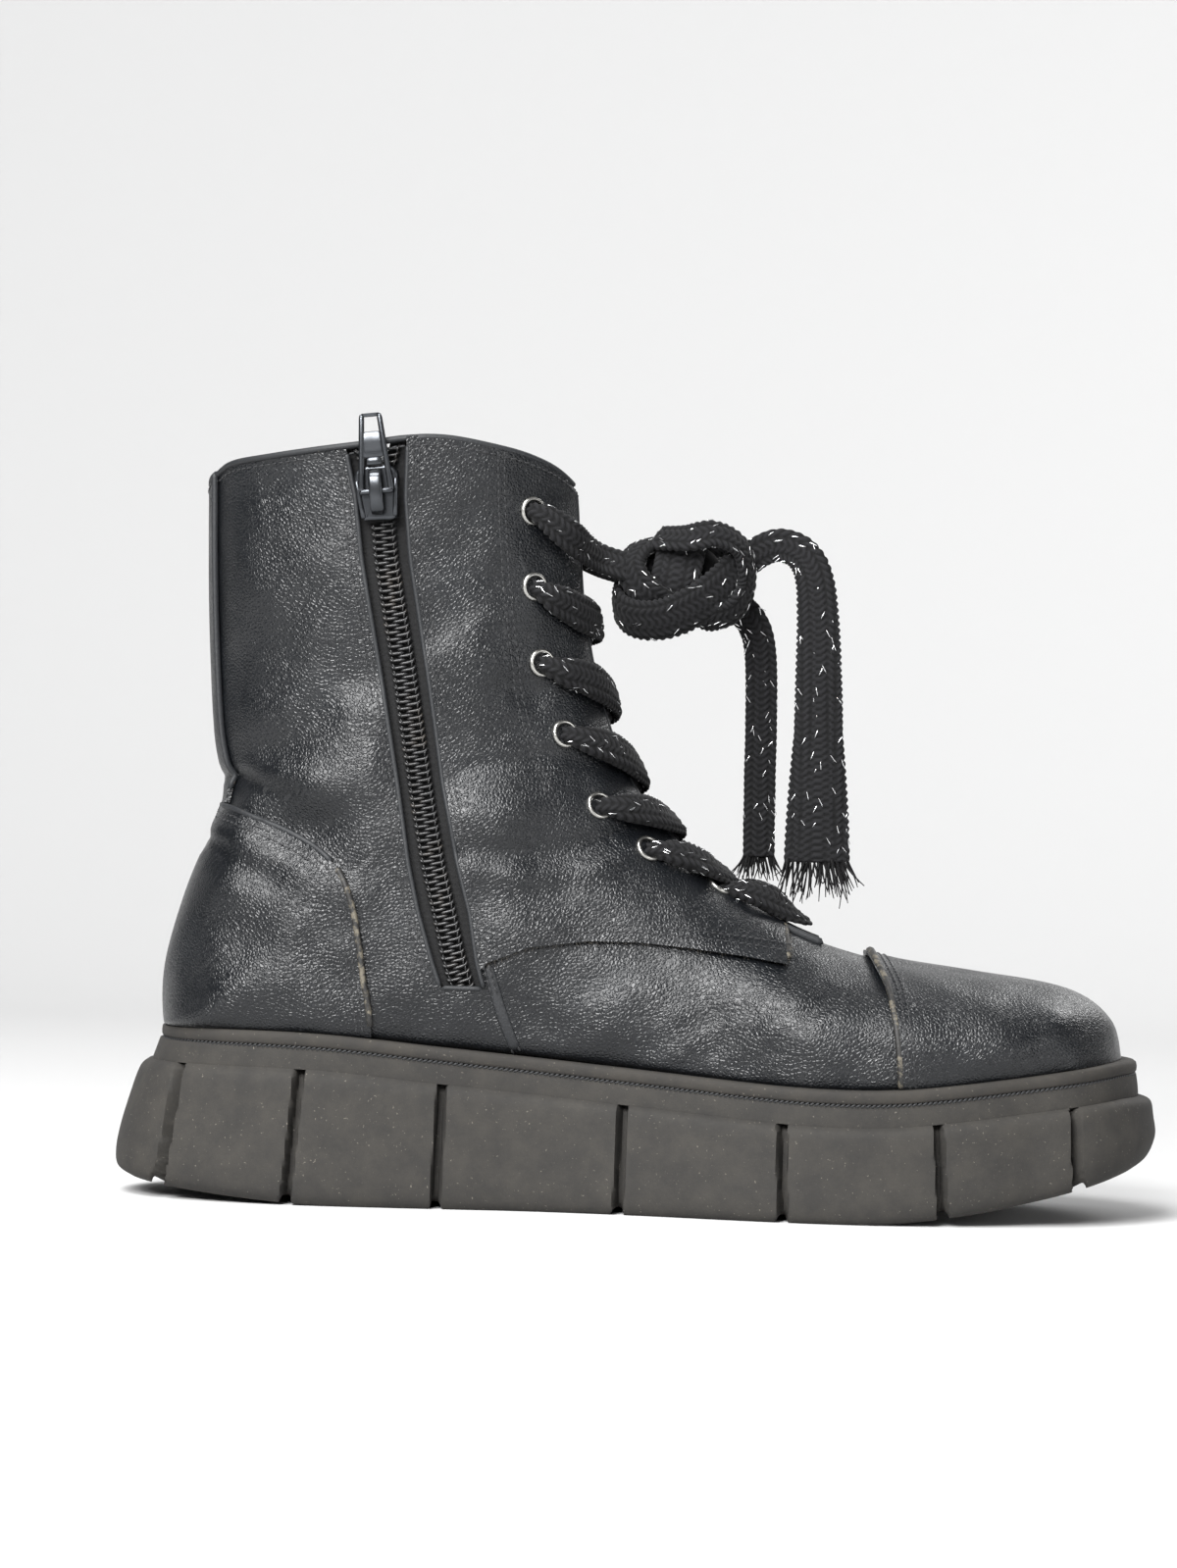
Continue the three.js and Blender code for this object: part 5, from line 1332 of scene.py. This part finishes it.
for row in range(1, 6):
    laced(f"lace_pair_{row + 1}", [crossing(-1, row), crossing(1, row)], f"lace_cross_{row + 1}")
(ua, ka), (ub, kb) = [(eyelet_at[s][0][6], eyelet_at[s][1][6]) for s in (-1, 1)]
step = np.array([0, 0.02, 0.1, 0.2, 0.35, 0.5, 0.65, 0.8, 0.9, 0.98, 1])
points, n = over(ua + (ub - ua) * step - 1.15 * np.sin(math.pi * step) ** 0.8, ka + (kb - ka) * step,
                 np.array([-2.4, 1.4, 4.2, 4.8, 4.4, 3.6, 4.4, 4.8, 4.2, 1.4, -2.4]), creased=False)
n = unit(n + np.outer(np.array([0, 0, -0.5, -0.8, -0.5, 0, 0.5, 0.8, 0.5, 0, 0]), [0, 1, 0]))
laced("lace_lowest", [braid(points, n, [3.6, 4.4, 7, 9.2, 9.6, 9.6, 9.6, 9.2, 7, 4.4, 3.6],
                            [3.6, 3.6, 3.5, 3, 2.4, 2.2, 2.4, 3, 3.5, 3.6, 3.6])], "lace_bar")

# The knot, its two incoming laces, and the ends that hang from it
KNOT = np.array([8, -2, 157.0])


def wrapped(local, width, thick=2.4):
    """A band round the knot: its flat side faces away from the knot's middle."""
    local = np.asarray(local, float)
    return braid(KNOT + local * [1.06, 1.04, 1.14], unit(local / [14, 9, 12]), width, thick)


p = np.linspace(-2.7, 3.6, 16)[:, None]
bands = [
    wrapped(np.concatenate([-1.5 + 1.8 * np.sin(p), -9.4 * np.cos(p), 9 * np.sin(p)], 1), 12.5),
    wrapped([(-4, 6, 4), (-12, 2, -1), (-14.5, -4, -5.5), (-11, -9, -8.5), (-4, -11.5, -8.5), (4, -11, -5),
             (11, -8, 0.5), (15, -2.5, 5.5), (11, 4, 9), (3, 7, 9)], 10.5, 3),
    wrapped([(-1, 3, 6), (-8, -4, 8), (-12, -9, 3), (-8, -10.5, -3), (0, -7, -7)], 8.6, 3),
    wrapped([(-6, -6, 9.5), (1, -10.5, 9.5), (8, -10.5, 10.5), (14, -7.5, 7.5), (15.6, -5.5, 0),
             (12.5, -7, -6), (6, -8, -8), (1, -4, -7)], 7.6),
]
b = np.linspace(0, 2 * math.pi, 40, endpoint=False)
a, b = np.meshgrid(np.linspace(0, math.pi, 30), b, indexing="ij")
core = KNOT + np.stack([11.5 * np.sin(a) * np.cos(b), 7.5 * np.sin(a) * np.sin(b), 10.5 * np.cos(a)], -1)
bands.append((core.reshape(-1, 3), grid_faces(30, 40, wrap_columns=True)))
knot = laced("knot_bands", bands, "lace_knot")

tops = []
for side in (-1, 1):
    e, n = over(eyelet_at[side][0][0], eyelet_at[side][1][0], 0.0)
    drift = np.array([1.0, -0.35 * side, -0.75])
    points = [e - 2.4 * n, e + 1.4 * n, e + 4 * n + 2 * drift, e + 4.6 * n + 8 * drift,
              [-13, 12.5 * side, 162.5], [-4.5, 8.5 * side - 2, 160], [3, 5 * side, 158]]
    face = [n, n, n, n, unit(n + [0.2, 0, 0.4]), unit(n + [0.1, 0, 0.3]), n]
    tops.append(braid(points, face, [3.6, 4, 6, 8.4, 8.6, 8.4, 7], [3.6, 3.6, 3.4, 2.8, 2.6, 2.4, 2.4]))
laced("lace_tops", tops, "lace_top")

END_A = np.array([
    [23.6, -3.8, 162.1], [28, -5, 165.4], [32.4, -6.3, 166.9], [37, -7.5, 165.6], [40.1, -8.5, 162.2],
    [41.7, -9.4, 157.2], [42.4, -10.2, 150.6], [42.8, -10.9, 143], [43, -11.5, 135], [43.2, -12, 127],
    [43.3, -12.4, 119], [43.4, -12.7, 111], [43.5, -12.9, 103], [43.6, -13, 95], [43.7, -13, 87.4]])
END_B = np.array([
    [23.2, 0.5, 151], [26, 1.6, 148.2], [27.9, 2.8, 144.4], [28.8, 3.9, 139.9], [29.2, 4.9, 135],
    [29.4, 5.7, 129.8], [29.5, 6.4, 124.5], [29.6, 6.9, 119.2], [29.6, 7.3, 113.9], [29.6, 7.6, 108.6],
    [29.7, 7.8, 103.3], [29.7, 7.9, 98], [29.8, 8, 92.8], [29.9, 8, 88]])
for name, route, node, widths, usual, tail_length, number in (
        ("lace_end_long", END_A, "lace_end_a", 8.4 * (1 + np.linspace(0, 1, 15) ** 2), 12.6, 10, 70),
        ("lace_end_short", END_B, "lace_end_b", np.full(14, 8.4), 8.4, 7, 44)):
    facing = np.tile([0, -1.0, 0], (len(route), 1))
    end = laced(name, [braid(route, facing, widths, 1.9)], node)
    run = unit(route[-1] - route[-2])
    across = np.array([1.0, 0, 0])
    at = rng.uniform(-0.46, 0.46, number)
    off = rng.normal(0, 0.35, (number, 3)) * [0, 1, 0]
    starts = route[-1] - run + across * (at * widths[-1])[:, None] + off
    way = unit(run + across * (at * 0.75)[:, None] + rng.normal(0, 0.16, (number, 3)))
    lengths = rng.uniform(0.6, 1.1, number) * tail_length
    tassel = laced(name + "_fray", [threads(starts, way, lengths, 0.32, 0.1)])
silver = make("lurex_flecks", *joined(flecks), lurex)
print("flecks:", sum(len(p) for p, _ in flecks) // 20)

# %% [markdown]
# ## The sole
# The sole was moulded as one piece: thick side blocks parted by grooves, a set-back midsole and
# a welt with a seam. Each layer is a stack of rings. A ring is the line where the upper
# stands, moved outward in plan by a reach that changes with the direction it faces: the square
# of the normal's x picks heel or toe, and what is left is the side. Boolean cuts could make the
# grooves, but pushing the rings inward keeps their rounded rims in one clean grid.


# %% Sole
def welt_loop(count=1100):
    """The line where the upper stands on the welt, from the toe round the heel and back."""
    toe = np.linspace(0, 8, 33)
    run = np.linspace(0.15, 12, 120)
    u, k = np.concatenate([np.zeros(33), run]), np.concatenate([toe, np.full(120, 12.0)])
    half = [form(u, s * k) for s in (-1, 1)]
    inner, outer = (even(h[:, :2], count // 2 + 1) for h in half)
    loop = np.concatenate([inner, outer[-2:0:-1]])
    kernel = np.exp(-np.linspace(-2.5, 2.5, 61) ** 2)
    kernel /= kernel.sum()
    padded = np.concatenate([loop[-30:], loop, loop[:30]])
    return np.stack([np.convolve(padded[:, i], kernel, "valid") for i in range(2)], -1)


LOOP = welt_loop()
COUNT = len(LOOP)
slope = unit(np.roll(LOOP, -1, 0) - np.roll(LOOP, 1, 0))
NORMAL = np.stack([slope[:, 1], -slope[:, 0]], -1)
if (NORMAL[0] @ [1, 0]) < 0:
    NORMAL = -NORMAL
GROOVES = np.array([[0.025, -0.002], [0.15, 0.135], [0.296, 0.29], [0.482, 0.478], [0.641, 0.646],
                    [0.798, 0.81], [0.942, 0.953]])


def soft_step(low, high, value):
    """0 below low, 1 above high and smooth between: t t (3 - 2 t)."""
    t = np.clip((value - low) / (high - low), 0, 1)
    return t * t * (3 - 2 * t)


def reach(nx, back, side, front):
    """How far a layer stands out: shares of 13.1 mm at the heel, 6.2 at the side, 10.8 at the toe."""
    plain = side * 6.2
    toward_heel = (back * 13.1 - plain) * np.maximum(0, -nx) ** 2
    return plain + toward_heel + (front * 10.8 - plain) * np.maximum(0, nx) ** 2


def weld_z(share):
    """The top of the welt, 0.3 mm under the line where the upper stands."""
    return welt_z(np.clip(share, 0, 1)) - 0.3


def sole_bottom(share):
    """The height of the sole's underside: flat, with a toe spring and a bevelled heel."""
    toe = np.clip(share - 0.715, 0, 1) / (1 + 10.8 / LENGTH - 0.715)
    heel = np.clip(0.2 - share, 0, 1) / (0.2 + 13.1 / LENGTH)
    return 16 * toe ** 1.7 + 5 * heel ** 1.6


def groove_at(x, z, width):
    """1 in the middle of a side groove, 0 past its edges, at a height z."""
    top, foot = at_x(GROOVES[:, 0]), at_x(GROOVES[:, 1])
    line = foot + (top - foot) * z[..., None] / HEEL
    gap = abs(x[..., None] - line).min(-1)
    return 1 - soft_step(width / 2 - 0.35, width / 2 + 0.25, gap)


def layer(rows, bottom, top):
    """Rings of points for rows of (height, back, side, front)."""
    rings = []
    for height, back, side, front in rows:
        flat = LOOP + NORMAL * reach(NORMAL[:, 0], back, side, front)[:, None]
        share = (flat[:, 0] - HEEL_X) / LENGTH
        rings.append(np.column_stack([flat, bottom(share) + (top(share) - bottom(share)) * height]))
    return np.array(rings)


def lids(rings):
    """Faces that close the lowest and highest ring from side to side."""
    i = np.arange(COUNT // 2 - 1)
    strip = np.stack([i, i + 1, COUNT - i - 2, COUNT - i - 1], 1)
    return np.concatenate([strip[:, ::-1], strip + (len(rings) - 1) * COUNT])


def outsole_top(share):
    """Under the welt, 3.4 mm, and the midsole, 5 mm, with 0.3 mm between the layers."""
    return weld_z(share) - 3.4 - 0.3 - 5 - 0.3


print("welt line round the boot:", round(length_of(LOOP)), "mm")

# %% [markdown]
# ## Outsole
# The blocks are rings that bulge in the middle and round off at both edges. Under them the tread
# is a sheet of lines from side to side. It is sunk along the grooves, along a spine in the middle,
# at the waist and in fine ribs, by taking the deepest of these at each point.

# %% Outsole
EDGE = np.array([[0, 0.72, 0.65, 0.62], [0.06, 0.96, 0.9, 0.8], [0.2, 1, 1, 0.93], [0.4, 0.93, 1, 1],
                 [0.65, 0.78, 0.97, 0.95], [0.92, 0.58, 0.9, 0.87], [1, 0.4, 0.62, 0.62]])
block_rows = catmull(EDGE, np.linspace(0, 6, 34))
rings = layer(block_rows, sole_bottom, outsole_top)
cut = groove_at(rings[..., 0], rings[..., 2], 2.2)
rings[..., :2] -= NORMAL[None] * (4.5 * cut)[..., None]
tread = groove_at(rings[..., 0], 0 * rings[..., 2], 2.6)
fall = np.clip(1 - block_rows[:, 0] * 4, 0, 1)[:, None]
rings[..., 2] += 1.6 * tread * fall
side_faces = grid_faces(len(rings), COUNT, wrap_columns=True)
# The tread: lines between the two sides, sunk at the grooves, the spine and the waist
i = np.arange(COUNT // 2)
near, far = rings[0][i], rings[0][COUNT - 1 - i]
v = np.linspace(0, 1, 40)[None, :, None]
ground = near[:, None] * (1 - v) + far[:, None] * v
share = (ground[..., 0] - HEEL_X) / LENGTH
inner_part = soft_step(0, 0.05, v[..., 0]) * soft_step(0, 0.05, 1 - v[..., 0])
dip = 4 * groove_at(ground[..., 0], 0 * ground[..., 0], 3.6)
dip = np.maximum(dip, 4 * (1 - soft_step(2.2, 2.8, abs(ground[..., 1] - 2.3))) * (abs(ground[..., 0]) < 112))
dip = np.maximum(dip, 2.4 * soft_step(0.3, 0.302, share) * (1 - soft_step(0.47, 0.472, share)))
dip = np.maximum(dip, 0.9 * (np.sin(ground[..., 0] * 2 * math.pi / 5.2) > 0.75) * inner_part)
ground[..., 2] = np.where(inner_part > 0.02, sole_bottom(share) + dip, ground[..., 2])
bottom_faces = grid_faces(len(i), 40) + rings.shape[0] * COUNT
points = np.concatenate([rings.reshape(-1, 3), ground.reshape(-1, 3)])
lid = lids(rings)[COUNT // 2 - 1:]
faces = np.concatenate([side_faces, bottom_faces, lid])
outsole = make("outsole_blocks", points, faces, sole_rubber, sharp=45)
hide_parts("outsole")

print("sole ring points:", COUNT, "lowest", round(float(ground[..., 2].min()), 2))

# %% [markdown]
# ## Midsole and welt
# The midsole is a band set back over the blocks. The welt over it has soft edges and a seam like
# a rope. A displaced texture could draw that rope, but it runs round the whole boot at an even
# pitch, so it is the stitch again, thicker and turned. The bands are rings with other reaches.

# %% Midsole and welt
MIDSOLE = np.array([[0, 0.34, 0.58, 0.58], [0.5, 0.27, 0.58, 0.56], [1, 0.2, 0.56, 0.52]])
mid_rows = catmull(MIDSOLE, np.linspace(0, 2, 8))
rings = layer(mid_rows, lambda s: weld_z(s) - 3.7 - 5.3, lambda s: weld_z(s) - 3.7)
faces = np.concatenate([grid_faces(8, COUNT, wrap_columns=True), lids(rings)])
midsole = make("midsole_band", rings, faces, sole_rubber, sharp=45)
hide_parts("midsole")

WELT_EDGE = np.array([[0, 0.08, 0.5, 0.4], [0.06, 0.14, 0.6, 0.48], [0.2, 0.165, 0.64, 0.52],
                      [0.5, 0.17, 0.66, 0.53], [0.8, 0.16, 0.64, 0.51], [0.95, 0.12, 0.58, 0.45],
                      [1, 0.03, 0.42, 0.33]])
rings = layer(WELT_EDGE, lambda s: weld_z(s) - 3.4, weld_z)
faces = np.concatenate([grid_faces(7, COUNT, wrap_columns=True), lids(rings)])
welt = make("welt_band", rings, faces, welt_rubber, sharp=60)
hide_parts("welt")
rope = layer(np.array([[0.5, 0.13, 0.57, 0.48]]), lambda s: weld_z(s) - 4.1, lambda s: weld_z(s) - 3.2)[0]
points, n = along(rope, np.column_stack([NORMAL, 0 * NORMAL[:, 0]]), length_of(rope) / 1.25)
axes = frames_along(points, n)
axes[:, 0] = unit(axes[:, 0] + 0.55 * axes[:, 1])
axes[:, 1] = np.cross(axes[:, 2], axes[:, 0])
rope_seam = make("welt_seam", *scatter(capsule(1.6, 0.62, 0.7, 6, 5), points, axes), thread)
print("stitches of the welt seam:", len(points))
